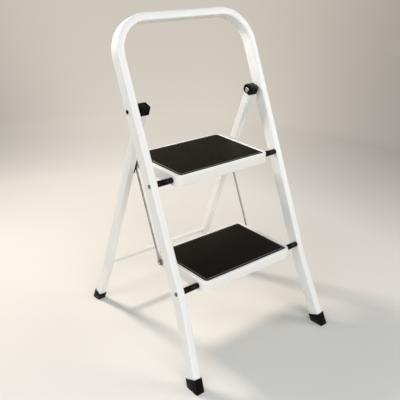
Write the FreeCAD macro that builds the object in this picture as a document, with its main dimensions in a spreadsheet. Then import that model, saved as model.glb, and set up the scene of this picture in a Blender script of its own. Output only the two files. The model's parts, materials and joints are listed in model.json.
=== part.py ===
import FreeCAD, Part
import math
import os
import re
import Sketcher

from FreeCAD import Placement, Rotation, Vector

# Folding two-step stool with a handrail loop, in millimetres and degrees.
# Row frame: +Z up, +X to the right of someone facing the treads, +Y to the rear.
# The origin is on the floor, under the middle of the open stool.
#
# Three working frames share the plane X = 0:
#   front: origin where the front legs' centre plane meets the floor, +Z up along the legs
#   rear:  origin where the rear legs' centre plane meets the floor, +Z up along the legs
#   row:   the steps, their bars and axles, which lie square to the floor

DRIVING_SIZES = (
    # Handrail frame: one tube bent into an upside-down U
    ("front_tilt", 24.4, "front legs, from the vertical"),
    ("front_tube_width", 20.0, "tube across the stool"),
    ("front_tube_depth", 32.0, "tube along the frame's normal"),
    ("front_tube_round", 4.0, "outer corner radius of the tube"),
    ("front_wall", 1.2, "tube wall"),
    ("handrail_along", 880.0, "top run's centre line, up the legs from the floor"),
    ("handrail_round", 88.0, "centre-line radius of the two top corners"),
    ("front_bend_along", 190.0, "where the legs begin to splay"),
    ("front_splay", 5.0, "outward splay of the leg ends"),
    ("splay_round", 100.0, "centre-line radius of the splay bends"),
    # Rear frame
    ("rear_tilt", 18.0, "rear legs, from the vertical"),
    ("rear_tube_width", 20.0, "tube across the stool"),
    ("rear_tube_depth", 22.0, "tube along the frame's normal"),
    ("rear_tube_round", 3.0, "outer corner radius of the tube"),
    ("rear_wall", 1.2, "tube wall"),
    ("rear_bend_along", 118.0, "where the legs begin to splay"),
    ("rear_splay", 3.8, "outward splay of the leg ends"),
    ("cross_tube_along", 136.5, "cross tube's axis, up the rear legs from the floor"),
    ("cross_tube_diameter", 12.0, "outside diameter"),
    ("cross_tube_wall", 1.2, "tube wall"),
    # Hinge between the two frames
    ("pivot_along", 671.55, "hinge axis, up the front legs from the floor"),
    ("pivot_setback", 5.6, "hinge axis behind the front legs' centre plane"),
    ("pivot_diameter", 8.0, "rivet shank"),
    ("pivot_head_diameter", 13.0, "rivet head on the inner side"),
    ("pivot_head_height", 2.6, "rivet head on the inner side"),
    ("pivot_gap", 0.4, "running gap between cap boss and front leg"),
    ("plug_diameter", 10.0, "black plug over the rivet's outer end"),
    ("plug_height", 1.8, "plug standing out of the leg"),
    # Plastic caps on the rear legs' top ends
    ("cap_wall", 3.0, "cap wall behind the tube and on its sides"),
    ("cap_front_wall", 3.0, "cap wall before the tube and over its end"),
    ("cap_below", 10.5, "cap skirt below the hinge axis"),
    ("rear_head", 10.0, "tube end above the hinge axis"),
    ("cap_front_cut", 1.5, "cut corners at the cap's front"),
    ("cap_back_cut", 6.0, "cut corners at the cap's back"),
    ("cap_boss", 10.6, "boss's face from the rear leg's outer side"),
    ("cap_boss_diameter", 19.0, "round boss that runs against the front leg"),
    # Feet
    ("foot_wall", 2.0, "foot wall round the tube"),
    ("foot_corner", 2.5, "foot's upright corner radius"),
    ("foot_sole", 12.0, "tube end above the floor, along the leg"),
    ("front_foot_height", 28.3, "foot's top edge above the floor, along the leg"),
    ("rear_foot_height", 24.3, "foot's top edge above the floor, along the leg"),
    ("socket_clearance", 0.1, "plastic socket round a tube end"),
    # Steps
    ("step_width", 307.0, "across the stool"),
    ("step_depth", 199.0, "front to back"),
    ("step_skirt", 27.0, "height of the folded-down edge"),
    ("step_corner", 19.5, "upright corner radius"),
    ("step_edge_round", 4.0, "rolled top edge"),
    ("step_sheet", 1.2, "sheet thickness"),
    ("step_overhang", 23.2, "step's front edge before the bar's axis"),
    ("step_rise", 14.3, "step's top above the bar's axis"),
    ("mat_side_margin", 12.0, "bare rim beside the mat"),
    ("mat_end_margin", 7.0, "bare rim before and behind the mat"),
    ("mat_corner", 7.0, "mat corner radius"),
    ("mat_recess", 2.4, "pressed recess that holds the mat"),
    ("mat_thickness", 3.0, "rubber mat"),
    ("mat_clearance", 0.3, "mat inside its recess"),
    # Bars that carry the steps at the front
    ("lower_bar_along", 234.55, "lower bar, up the front legs from the floor"),
    ("upper_bar_along", 494.15, "upper bar, up the front legs from the floor"),
    ("bar_setforward", 8.0, "bars before the front legs' centre plane"),
    ("bar_diameter", 10.0, "steel bar"),
    ("bar_head_diameter", 11.0, "riveted bar end on the leg's outer side"),
    ("bar_head_height", 2.0, "riveted bar end on the leg's outer side"),
    ("spacer_diameter", 15.0, "black sleeve between step and leg"),
    ("spacer_gap", 0.3, "end play of a sleeve, each end"),
    ("pin_clearance", 0.05, "radial clearance of a pin in its hole"),
    # Axles at the back of the steps, with the link rods' eyes and the saddles
    ("axle_back", 142.0, "axle behind the bar"),
    ("axle_diameter", 8.0, "steel axle"),
    ("axle_end_gap", 2.0, "upper axle's end short of the rear leg"),
    ("lower_axle_stub", 2.5, "lower axle's end past its clip"),
    ("rod_diameter", 5.0, "link rod wire"),
    ("rod_gap", 1.0, "rod from the step's side"),
    ("rod_offset", 2.8, "wire behind the line between its eyes"),
    ("eye_wall", 4.2, "flattened eye round the axle"),
    ("eye_thickness", 4.0, "flattened eye along the axle"),
    ("clip_diameter", 13.0, "push-on clip that holds the eye"),
    ("clip_thickness", 1.5, "push-on clip"),
    ("clip_gap", 0.3, "clip's play on each side"),
    ("saddle_thickness", 7.4, "plastic saddle on the rear leg's inner face"),
    ("saddle_wall", 6.0, "saddle in front of and behind its slot"),
    ("saddle_base", 20.0, "saddle below its slot"),
    ("saddle_rise", 7.0, "saddle above the slot's centre"),
    ("saddle_clearance", 0.3, "axle in its slot, all round"),
    ("saddle_mouth", 50.0, "slot's opening, from the leg's axis to the rear"),
    ("saddle_mouth_flare", 14.0, "slot's widening to each side"),
    ("saddle_rivet_drop", 14.0, "rivet below the slot's centre"),
    ("saddle_rivet_diameter", 5.0, "rivet shank"),
    ("saddle_rivet_head", 8.0, "rivet head diameter"),
    ("saddle_rivet_height", 1.2, "rivet head height"),
)

DERIVED_SIZES = (
    # Places across the stool, from the step's side outwards
    ("half_step", "step_width / 2"),
    ("rod_x", "half_step + rod_gap + rod_diameter / 2"),
    ("clip_x", "half_step + rod_gap + rod_diameter + clip_gap"),
    ("saddle_x", "clip_x + clip_thickness + clip_gap"),
    ("rear_inner_x", "saddle_x + saddle_thickness"),
    ("rear_leg_x", "rear_inner_x + rear_tube_width / 2"),
    ("rear_outer_x", "rear_inner_x + rear_tube_width"),
    ("front_inner_x", "rear_outer_x + cap_boss + pivot_gap"),
    ("front_leg_x", "front_inner_x + front_tube_width / 2"),
    ("front_outer_x", "front_inner_x + front_tube_width"),
    ("front_foot_x", "front_leg_x + front_bend_along * tan(front_splay)"),
    ("rear_foot_x", "rear_leg_x + rear_bend_along * tan(rear_splay)"),
    # Hinge, seen from the front legs' foot
    ("pivot_reach", "pivot_along * sin(front_tilt) + pivot_setback * cos(front_tilt)"),
    ("hinge_z", "pivot_along * cos(front_tilt) - pivot_setback * sin(front_tilt)"),
    ("rear_length", "hinge_z / cos(rear_tilt)"),
    ("rear_reach", "hinge_z * tan(rear_tilt)"),
    # The open stool's footprint is centred on the origin
    ("front_toe", "(front_tube_depth / 2 + foot_wall) / cos(front_tilt)"),
    ("rear_heel", "(rear_tube_depth / 2 + foot_wall) / cos(rear_tilt)"),
    ("front_axis_y", "(front_toe - rear_heel - pivot_reach - rear_reach) / 2"),
    ("hinge_y", "front_axis_y + pivot_reach"),
    ("rear_axis_y", "hinge_y + rear_reach"),
    # Bars
    ("upper_bar_y", "front_axis_y + upper_bar_along * sin(front_tilt) - bar_setforward * cos(front_tilt)"),
    ("upper_bar_z", "upper_bar_along * cos(front_tilt) + bar_setforward * sin(front_tilt)"),
    ("lower_bar_y", "front_axis_y + lower_bar_along * sin(front_tilt) - bar_setforward * cos(front_tilt)"),
    ("lower_bar_z", "lower_bar_along * cos(front_tilt) + bar_setforward * sin(front_tilt)"),
    # The upper axle in its saddle, seen along the rear legs
    ("axle_dy", "upper_bar_y + axle_back - hinge_y"),
    ("axle_dz", "upper_bar_z - hinge_z"),
    ("saddle_y", "axle_dy * cos(rear_tilt) + axle_dz * sin(rear_tilt)"),
    ("saddle_z", "rear_length - axle_dy * sin(rear_tilt) + axle_dz * cos(rear_tilt)"),
    ("slot_radius", "axle_diameter / 2 + saddle_clearance"),
    ("saddle_rivet_z", "saddle_z - saddle_rivet_drop"),
    ("saddle_rivet_hole", "saddle_rivet_diameter + 2 * pin_clearance"),
    ("saddle_front", "min(0 - saddle_rivet_head / 2; saddle_y - slot_radius - saddle_wall)"),
    ("saddle_back", "max(rear_tube_depth / 2; saddle_y + slot_radius + saddle_wall)"),
    # Holes and running fits
    ("bar_hole", "bar_diameter + 2 * pin_clearance"),
    ("axle_hole", "axle_diameter + 2 * pin_clearance"),
    ("pivot_hole", "pivot_diameter + 2 * pin_clearance"),
    ("cap_inner_x", "rear_inner_x - cap_wall"),
    ("cap_outer_x", "rear_outer_x + cap_wall"),
    ("mat_width", "step_width - 2 * mat_side_margin - 2 * mat_clearance"),
    ("mat_depth", "step_depth - 2 * mat_end_margin - 2 * mat_clearance"),
    ("eye_diameter", "axle_hole + 2 * eye_wall"),
    ("eye_middle", "(axle_hole + eye_wall) / 2"),
)

doc = FreeCAD.newDocument("StepStool")
sheet_of = {}
nodes = []


def fill_sheet(name, rows):
    """Write rows of alias and cell text to a sheet, with an optional note."""
    sheet = doc.addObject("Spreadsheet::Sheet", name)
    for number, (alias, text, note) in enumerate(rows, start=1):
        sheet.set(f"A{number}", alias)
        sheet.set(f"B{number}", text)
        sheet.set(f"C{number}", note)
        sheet.setAlias(f"B{number}", alias)
        sheet_of[alias] = name
    doc.recompute()
    return sheet


def formula(text):
    """Put its sheet's name before each alias in a formula."""
    def with_sheet(match):
        word = match.group()
        return f"{sheet_of[word]}.{word}" if word in sheet_of else word
    return re.sub(r"[a-z][a-z0-9_]*", with_sheet, str(text))


def value(text):
    """Give the number that a formula works out to."""
    return float(sizes.evalExpression(formula(text)))


def bind(item, **formulas):
    """Bind plain properties of an object to formulas."""
    for name, text in formulas.items():
        item.setExpression(name, formula(text))
    return item


def place(item, x=None, y=None, z=None, axis=None, angle=None):
    """Bind an object's place, and its turn about one axis, to formulas."""
    if axis is not None:
        item.Placement = Placement(Vector(), Rotation(axis, value(angle)))
        item.setExpression("Placement.Rotation.Angle", formula(angle))
    for letter, text in (("x", x), ("y", y), ("z", z)):
        if text is not None:
            item.setExpression(f"Placement.Base.{letter}", formula(text))
    return item


def in_front_frame(item):
    """Lay an object on the front legs' centre plane."""
    return place(item, y="front_axis_y", axis=Vector(1, 0, 0), angle="0 - front_tilt")


def in_rear_frame(item):
    """Lay an object on the rear legs' centre plane."""
    return place(item, y="rear_axis_y", axis=Vector(1, 0, 0), angle="rear_tilt")


def node(item, label):
    """Name a finished piece and keep it for the STEP files."""
    item.Label = label
    nodes.append(item)
    return item


def mirrored_node(right, label):
    """Make the left-hand twin of a right-hand piece."""
    twin = doc.addObject("Part::Mirroring", label)
    twin.Source = right
    twin.Base = Vector(0, 0, 0)
    twin.Normal = Vector(1, 0, 0)
    return node(twin, label)


# Primitives and booleans

def box(name, length, width, height, **where):
    """A block along X, Y and Z from its placed corner."""
    item = doc.addObject("Part::Box", name)
    bind(item, Length=length, Width=width, Height=height)
    return place(item, **where)


def round_bar(name, diameter, start, end, y, z):
    """A round bar along X."""
    item = doc.addObject("Part::Cylinder", name)
    bind(item, Radius=f"({diameter}) / 2", Height=f"({end}) - ({start})")
    return place(item, x=start, y=y, z=z, axis=Vector(0, 1, 0), angle="90")


def dome(name, diameter, height, x, y, z, outward):
    """A low domed rivet head whose flat side stands at x and whose crown points along outward X."""
    ball = f"(({diameter}) ^ 2 / 4 + ({height}) ^ 2) / (2 * ({height}))"
    item = doc.addObject("Part::Sphere", name)
    bind(item, Radius=ball, Angle1=f"asin(({ball} - ({height})) / ({ball}))")
    sign = "+" if outward < 0 else "-"
    turn = "90" if outward > 0 else "270"
    return place(item, x=f"({x}) {sign} ({ball} - ({height}))", y=y, z=z, axis=Vector(0, 1, 0), angle=turn)


def fuse(name, *pieces):
    """One solid from several that meet."""
    item = doc.addObject("Part::MultiFuse", name)
    item.Shapes = list(pieces)
    return item


def cut(name, base, *tools):
    """A solid with tools taken out of it."""
    item = doc.addObject("Part::Cut", name)
    item.Base = base
    item.Tool = tools[0] if len(tools) == 1 else fuse(f"{name}_tools", *tools)
    return item


def sleeve(name, outside, inside, start, end, y, z):
    """A round sleeve along X."""
    outer = round_bar(f"{name}_outer", outside, start, end, y, z)
    bore = round_bar(f"{name}_bore", inside, start, end, y, z)
    return cut(name, outer, bore)


# Bodies and sketches

def new_body(name):
    """An empty body."""
    return doc.addObject("PartDesign::Body", name)


def new_sketch(body, name, plane, x=None, y=None, z=None):
    """A sketch on one of its body's origin planes, with its origin moved by formulas."""
    sketch = body.newObject("Sketcher::SketchObject", name)
    support = next(item for item in body.Origin.OriginFeatures if item.Role == plane)
    sketch.AttachmentSupport = (support, [""])
    sketch.MapMode = "FlatFace"
    for letter, text in (("x", x), ("y", y), ("z", z)):
        if text is not None:
            sketch.setExpression(f"AttachmentOffset.Base.{letter}", formula(text))
    return sketch


def dimension(sketch, kind, where, text):
    """Add a dimension to a sketch and bind it to a formula."""
    size = value(text)
    if kind == "Angle":
        size = FreeCAD.Units.Quantity(f"{size} deg")
    index = sketch.addConstraint(Sketcher.Constraint(kind, *where, size))
    sketch.setExpression(f"Constraints[{index}]", formula(text))


def constrain(sketch, *constraints):
    """Add constraints that have no size."""
    for parts in constraints:
        sketch.addConstraint(Sketcher.Constraint(*parts))


def circle(sketch, diameter):
    """A circle about the sketch's origin."""
    ring = sketch.addGeometry(Part.Circle(Vector(), Vector(0, 0, 1), value(diameter) / 2))
    constrain(sketch, ("Coincident", ring, 3, -1, 1))
    dimension(sketch, "Diameter", (ring,), diameter)


def rounded_rectangle(sketch, width, height, radius):
    """A rectangle with round corners about the sketch's origin."""
    half_w, half_h, r = value(width) / 2, value(height) / 2, value(radius)
    in_w, in_h = half_w - r, half_h - r
    quarter = math.pi / 2
    corners = ((in_w, in_h, 0), (-in_w, in_h, 1), (-in_w, -in_h, 2), (in_w, -in_h, 3))
    arcs = []
    for x, y, turn in corners:
        ring = Part.Circle(Vector(x, y), Vector(0, 0, 1), r)
        arcs.append(sketch.addGeometry(Part.ArcOfCircle(ring, turn * quarter, (turn + 1) * quarter)))
    ends = (
        (Vector(in_w, half_h), Vector(-in_w, half_h)),
        (Vector(-half_w, in_h), Vector(-half_w, -in_h)),
        (Vector(-in_w, -half_h), Vector(in_w, -half_h)),
        (Vector(half_w, -in_h), Vector(half_w, in_h)),
    )
    top, left, bottom, right = [sketch.addGeometry(Part.LineSegment(*pair)) for pair in ends]
    sides = (top, left, bottom, right)
    for arc, side, next_arc in zip(arcs, sides, arcs[1:] + arcs[:1]):
        constrain(sketch, ("Tangent", arc, 2, side, 1), ("Tangent", side, 2, next_arc, 1))
    constrain(sketch, ("Horizontal", top), ("Vertical", left), ("Horizontal", bottom), ("Vertical", right))
    constrain(sketch, *(("Equal", arcs[0], arc) for arc in arcs[1:]))
    constrain(sketch, ("Symmetric", left, 1, right, 1, -1, 1))
    dimension(sketch, "Radius", (arcs[0],), radius)
    dimension(sketch, "DistanceX", (left, 1, right, 1), width)
    dimension(sketch, "DistanceY", (bottom, 1, top, 1), height)


def cut_rectangle(sketch, left, right, below, above, left_cut, right_cut):
    """A rectangle with cut corners, given by its sides' distances from the sketch's origin."""
    west, east, south, north = (value(side) for side in (left, right, below, above))
    w_cut, e_cut = value(left_cut), value(right_cut)
    points = (
        (east, e_cut - south), (east, north - e_cut), (east - e_cut, north), (w_cut - west, north),
        (-west, north - w_cut), (-west, w_cut - south), (w_cut - west, -south), (east - e_cut, -south),
    )
    corners = [Vector(x, y) for x, y in points]
    edges = [
        sketch.addGeometry(Part.LineSegment(corners[index], corners[(index + 1) % 8])) for index in range(8)
    ]
    for index in range(8):
        constrain(sketch, ("Coincident", edges[index], 2, edges[(index + 1) % 8], 1))
    right_side, top, left_side, bottom = edges[0::2]
    constrain(sketch, ("Vertical", right_side), ("Horizontal", top), ("Vertical", left_side),
              ("Horizontal", bottom))
    dimension(sketch, "DistanceX", (-1, 1, right_side, 1), right)
    dimension(sketch, "DistanceX", (left_side, 1, -1, 1), left)
    dimension(sketch, "DistanceY", (-1, 1, top, 1), above)
    dimension(sketch, "DistanceY", (bottom, 1, -1, 1), below)
    for low, high in ((top, 1), (right_side, 2)), ((bottom, 2), (right_side, 1)):
        dimension(sketch, "DistanceX", (*low, *high), right_cut)
    for low, high in ((left_side, 1), (top, 2)), ((left_side, 2), (bottom, 1)):
        dimension(sketch, "DistanceX", (*low, *high), left_cut)
    for low, high in ((right_side, 2), (top, 1)), ((bottom, 2), (right_side, 1)):
        dimension(sketch, "DistanceY", (*low, *high), right_cut)
    for low, high in ((left_side, 1), (top, 2)), ((bottom, 1), (left_side, 2)):
        dimension(sketch, "DistanceY", (*low, *high), left_cut)


def leg_path(sketch, x, top, bend, splay, end):
    """A leg's centre line from its top down to a splayed end; gives back the straight run's edge."""
    line_x, top_z, end_z = value(x), value(top), value(end)
    tangent_z = value(f"({bend}) + splay_round * tan(({splay}) / 2)")
    radius, angle = value("splay_round"), value(splay)
    centre = Vector(line_x + radius, tangent_z)
    sweep = math.radians(angle)
    curve = Part.ArcOfCircle(Part.Circle(centre, Vector(0, 0, 1), radius), math.pi, math.pi + sweep)
    toe = Vector(line_x + value(f"(({bend}) - ({end})) * tan({splay})"), end_z)
    run = sketch.addGeometry(Part.LineSegment(Vector(line_x, top_z), Vector(line_x, tangent_z)))
    arc = sketch.addGeometry(curve)
    tip = sketch.addGeometry(Part.LineSegment(curve.EndPoint, toe))
    constrain(sketch, ("Tangent", run, 2, arc, 1), ("Tangent", arc, 2, tip, 1), ("Vertical", run))
    dimension(sketch, "DistanceY", (-1, 1, run, 2), f"({bend}) + splay_round * tan(({splay}) / 2)")
    dimension(sketch, "Radius", (arc,), "splay_round")
    dimension(sketch, "DistanceY", (-1, 1, tip, 2), end)
    dimension(sketch, "DistanceX", (run, 2, tip, 2), f"(({bend}) - ({end})) * tan({splay})")
    return run


def tube_profile(sketch, width, depth, radius, wall):
    """A rounded tube section."""
    rounded_rectangle(sketch, width, depth, radius)
    inner_width, inner_depth = [f"({side}) - 2 * ({wall})" for side in (width, depth)]
    rounded_rectangle(sketch, inner_width, inner_depth, f"({radius}) - ({wall})")


def pipe(body, name, profile, path):
    """A section swept along a path."""
    feature = body.newObject("PartDesign::AdditivePipe", name)
    feature.Profile = profile
    feature.Spine = path
    doc.recompute()
    return feature


def pad(body, name, profile, length, downwards=False):
    """A sketch raised by a length."""
    feature = body.newObject("PartDesign::Pad", name)
    feature.Profile = profile
    feature.Reversed = downwards
    bind(feature, Length=length)
    doc.recompute()
    return feature


def pocket(body, name, profile, length=None, upwards=False):
    """A sketch sunk by a length, or right through both ways, with a test that it takes something away."""
    before = body.Shape.Volume
    feature = body.newObject("PartDesign::Pocket", name)
    feature.Profile = profile
    if length is None:
        feature.Type = "ThroughAll"
        feature.Midplane = True
    else:
        feature.Reversed = upwards
        bind(feature, Length=length)
    doc.recompute()
    if not body.Shape.Volume < before:
        raise RuntimeError(f"{body.Name}: {name} cuts nothing")
    return feature


def cross_hole(body, name, diameter, y, z):
    """A hole right through a body along X."""
    sketch = new_sketch(body, f"{name}_circle", "YZ_Plane", x=y, y=z)
    circle(sketch, diameter)
    return pocket(body, name, sketch)


# Front frame

def make_handrail_frame():
    """The bent U tube, drilled for the hinge rivets and the two bars."""
    body = new_body("HandrailFrame")
    path = new_sketch(body, "centre_line", "XZ_Plane")
    span, top, radius = value("front_leg_x"), value("handrail_along"), value("handrail_round")
    run = leg_path(path, "front_leg_x", "handrail_along - handrail_round", "front_bend_along", "front_splay",
                   "foot_sole * cos(front_splay)")
    ring = Part.Circle(Vector(span - radius, top - radius), Vector(0, 0, 1), radius)
    corner = path.addGeometry(Part.ArcOfCircle(ring, 0, math.pi / 2))
    rail = path.addGeometry(Part.LineSegment(Vector(0, top), Vector(span - radius, top)))
    constrain(path, ("Tangent", corner, 1, run, 1), ("Tangent", rail, 2, corner, 2), ("Horizontal", rail),
              ("PointOnObject", rail, 1, -2))
    dimension(path, "Radius", (corner,), "handrail_round")
    dimension(path, "DistanceY", (-1, 1, rail, 1), "handrail_along")
    dimension(path, "DistanceX", (-1, 1, run, 1), "front_leg_x")
    profile = new_sketch(body, "section", "YZ_Plane", y="handrail_along")
    tube_profile(profile, "front_tube_depth", "front_tube_width", "front_tube_round", "front_wall")
    half = pipe(body, "half_loop", profile, path)
    both = body.newObject("PartDesign::Mirrored", "both_halves")
    both.Originals = [half]
    both.MirrorPlane = (next(item for item in body.Origin.OriginFeatures if item.Role == "YZ_Plane"), [""])
    body.Tip = both
    doc.recompute()
    cross_hole(body, "hinge_holes", "pivot_hole", "pivot_setback", "pivot_along")
    cross_hole(body, "upper_bar_holes", "bar_hole", "0 - bar_setforward", "upper_bar_along")
    cross_hole(body, "lower_bar_holes", "bar_hole", "0 - bar_setforward", "lower_bar_along")
    node(in_front_frame(body), "handrail_frame")


def floor_tool(name, tilt, towards):
    """A slab whose top is the floor, seen from a leg frame that is tilted."""
    reach = "(step_width + step_depth)"
    depth = "(foot_sole * 4)"
    down_y = f"{depth} * sin({tilt})" if towards > 0 else f"0 - {depth} * sin({tilt})"
    along_y = f"{reach} * cos({tilt})"
    along_z = f"{reach} * sin({tilt})" if towards > 0 else f"0 - {reach} * sin({tilt})"
    turn = tilt if towards > 0 else f"0 - {tilt}"
    return box(name, f"2 * {reach}", f"2 * {reach}", depth, x=f"0 - {reach}", y=f"{down_y} - ({along_y})",
               z=f"0 - {depth} * cos({tilt}) - ({along_z})", axis=Vector(1, 0, 0), angle=turn)


def make_foot(name, width, depth, radius, height, foot_x, splay, floor):
    """A plastic foot in its leg's frame: a block round the splayed tube end, cut flat by the floor."""
    body = new_body(f"{name}_block")
    outer = new_sketch(body, "outside", "XY_Plane", z=height)
    rounded_rectangle(outer, f"{width} + 2 * foot_wall", f"{depth} + 2 * foot_wall", "foot_corner")
    pad(body, "block", outer, f"{height} + foot_sole * 2", downwards=True)
    socket = new_sketch(body, "inside", "XY_Plane", z=height)
    rounded_rectangle(socket, f"{width} + 2 * socket_clearance", f"{depth} + 2 * socket_clearance",
                      f"{radius} + socket_clearance")
    pocket(body, "socket", socket, f"{height} - foot_sole")
    place(body, x=foot_x, axis=Vector(0, 1, 0), angle=f"0 - {splay}")
    return cut(name, body, floor)


def make_front_feet():
    """The two front feet."""
    floor = floor_tool("front_floor", "front_tilt", 1)
    foot = make_foot("front_foot", "front_tube_width", "front_tube_depth", "front_tube_round",
                     "front_foot_height", "front_foot_x", "front_splay", floor)
    right = node(in_front_frame(foot), "front_foot_right")
    mirrored_node(right, "front_foot_left")


def make_bar(level):
    """A riveted bar across the front legs, with the sleeves that keep its step in the middle."""
    y, z = f"{level}_bar_y", f"{level}_bar_z"
    shank = round_bar(f"{level}_bar_shank", "bar_diameter", "0 - front_outer_x", "front_outer_x", y, z)
    heads = [
        dome(f"{level}_bar_head", "bar_head_diameter", "bar_head_height", x, y, z, outward)
        for x, outward in (("front_outer_x", 1), ("0 - front_outer_x", -1))
    ]
    node(fuse(f"{level}_bar", shank, *heads), f"{level}_step_bar")
    tube = sleeve(f"{level}_spacer", "spacer_diameter", "bar_hole", "half_step + spacer_gap",
                  "front_inner_x - spacer_gap", y, z)
    right = node(tube, f"{level}_spacer_right")
    mirrored_node(right, f"{level}_spacer_left")


def make_hinge_rivets():
    """The rivets that hinge the rear frame, and the plugs over their outer ends."""
    y, z = "hinge_y", "hinge_z"
    shank = round_bar("hinge_shank", "pivot_diameter", "cap_inner_x", "front_outer_x", y, z)
    head = dome("hinge_head", "pivot_head_diameter", "pivot_head_height", "cap_inner_x", y, z, -1)
    rivet = node(fuse("hinge_rivet", shank, head), "hinge_rivet_right")
    mirrored_node(rivet, "hinge_rivet_left")
    plug = dome("hinge_plug", "plug_diameter", "plug_height", "front_outer_x", y, z, 1)
    mirrored_node(node(plug, "hinge_plug_right"), "hinge_plug_left")


# Rear frame

def make_rear_legs():
    """The two rear legs, drilled for the hinge rivet and the saddle's rivet."""
    body = new_body("RearLeg")
    path = new_sketch(body, "centre_line", "XZ_Plane")
    top = "rear_length + rear_head"
    run = leg_path(path, "rear_leg_x", top, "rear_bend_along", "rear_splay", "foot_sole * cos(rear_splay)")
    dimension(path, "DistanceY", (-1, 1, run, 1), top)
    dimension(path, "DistanceX", (-1, 1, run, 1), "rear_leg_x")
    profile = new_sketch(body, "section", "XY_Plane", x="rear_leg_x", z=top)
    tube_profile(profile, "rear_tube_width", "rear_tube_depth", "rear_tube_round", "rear_wall")
    pipe(body, "leg", profile, path)
    cross_hole(body, "hinge_hole", "pivot_hole", "0", "rear_length")
    inner_side = new_sketch(body, "rivet_circle", "YZ_Plane", y="saddle_rivet_z", z="rear_inner_x")
    circle(inner_side, "saddle_rivet_hole")
    pocket(body, "rivet_hole", inner_side, "rear_tube_width / 2", upwards=True)
    right = node(in_rear_frame(body), "rear_leg_right")
    mirrored_node(right, "rear_leg_left")


def make_cross_tube():
    """The round tube welded between the rear legs."""
    tube = sleeve("cross_tube", "cross_tube_diameter", "cross_tube_diameter - 2 * cross_tube_wall",
                  "0 - rear_inner_x", "rear_inner_x", "0", "cross_tube_along")
    node(in_rear_frame(tube), "rear_cross_tube")


def make_rear_caps():
    """The plastic caps on the rear legs' top ends, each with a boss that runs against the front leg."""
    body = new_body("RearCap")
    block = new_sketch(body, "block_outline", "YZ_Plane", y="rear_length", z="cap_inner_x")
    cut_rectangle(block, "rear_tube_depth / 2 + cap_front_wall", "rear_tube_depth / 2 + cap_wall",
                  "cap_below", "rear_head + cap_front_wall", "cap_front_cut", "cap_back_cut")
    pad(body, "block", block, "cap_outer_x - cap_inner_x")
    boss = new_sketch(body, "boss_outline", "YZ_Plane", y="rear_length", z="cap_outer_x")
    circle(boss, "cap_boss_diameter")
    pad(body, "boss", boss, "cap_boss - cap_wall")
    socket = new_sketch(body, "socket_outline", "XY_Plane", x="rear_leg_x", z="rear_length + rear_head")
    rounded_rectangle(socket, "rear_tube_width + 2 * socket_clearance",
                      "rear_tube_depth + 2 * socket_clearance", "rear_tube_round + socket_clearance")
    pocket(body, "socket", socket, "rear_head + cap_below + cap_wall")
    cross_hole(body, "hinge_hole", "pivot_hole", "0", "rear_length")
    right = node(in_rear_frame(body), "rear_cap_right")
    mirrored_node(right, "rear_cap_left")


def make_rear_feet():
    """The two rear feet."""
    floor = floor_tool("rear_floor", "rear_tilt", -1)
    foot = make_foot("rear_foot", "rear_tube_width", "rear_tube_depth", "rear_tube_round", "rear_foot_height",
                     "rear_foot_x", "rear_splay", floor)
    right = node(in_rear_frame(foot), "rear_foot_right")
    mirrored_node(right, "rear_foot_left")


def make_saddles():
    """The plastic saddles on the rear legs that the upper step's axle drops into, and their rivets."""
    block = box("saddle_block", "saddle_thickness", "saddle_back - saddle_front",
                "slot_radius + saddle_base + saddle_rise", x="saddle_x", y="saddle_front",
                z="saddle_z - slot_radius - saddle_base")
    seat = round_bar("saddle_seat", "2 * slot_radius", "saddle_x", "rear_inner_x", "saddle_y", "saddle_z")
    mouths = []
    for flare in ("0 - saddle_mouth_flare", "0", "saddle_mouth_flare"):
        turn = f"(saddle_mouth + ({flare}))"
        slot = box("saddle_slot", "saddle_thickness", "2 * slot_radius", "saddle_base + saddle_back * 3",
                   x="saddle_x", y=f"saddle_y - slot_radius * cos{turn}",
                   z=f"saddle_z + slot_radius * sin{turn}", axis=Vector(1, 0, 0), angle=f"0 - {turn}")
        mouths.append(slot)
    bore = round_bar("saddle_bore", "saddle_rivet_hole", "saddle_x", "rear_inner_x", "0", "saddle_rivet_z")
    right = node(in_rear_frame(cut("saddle", block, seat, *mouths, bore)), "saddle_right")
    mirrored_node(right, "saddle_left")
    shank = round_bar("saddle_rivet_shank", "saddle_rivet_diameter", "saddle_x", "rear_inner_x + rear_wall",
                      "0", "saddle_rivet_z")
    head = dome("saddle_rivet_head", "saddle_rivet_head", "saddle_rivet_height", "saddle_x", "0",
                "saddle_rivet_z", -1)
    rivet = node(in_rear_frame(fuse("saddle_rivet", shank, head)), "saddle_rivet_right")
    mirrored_node(rivet, "saddle_rivet_left")


# Steps

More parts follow.
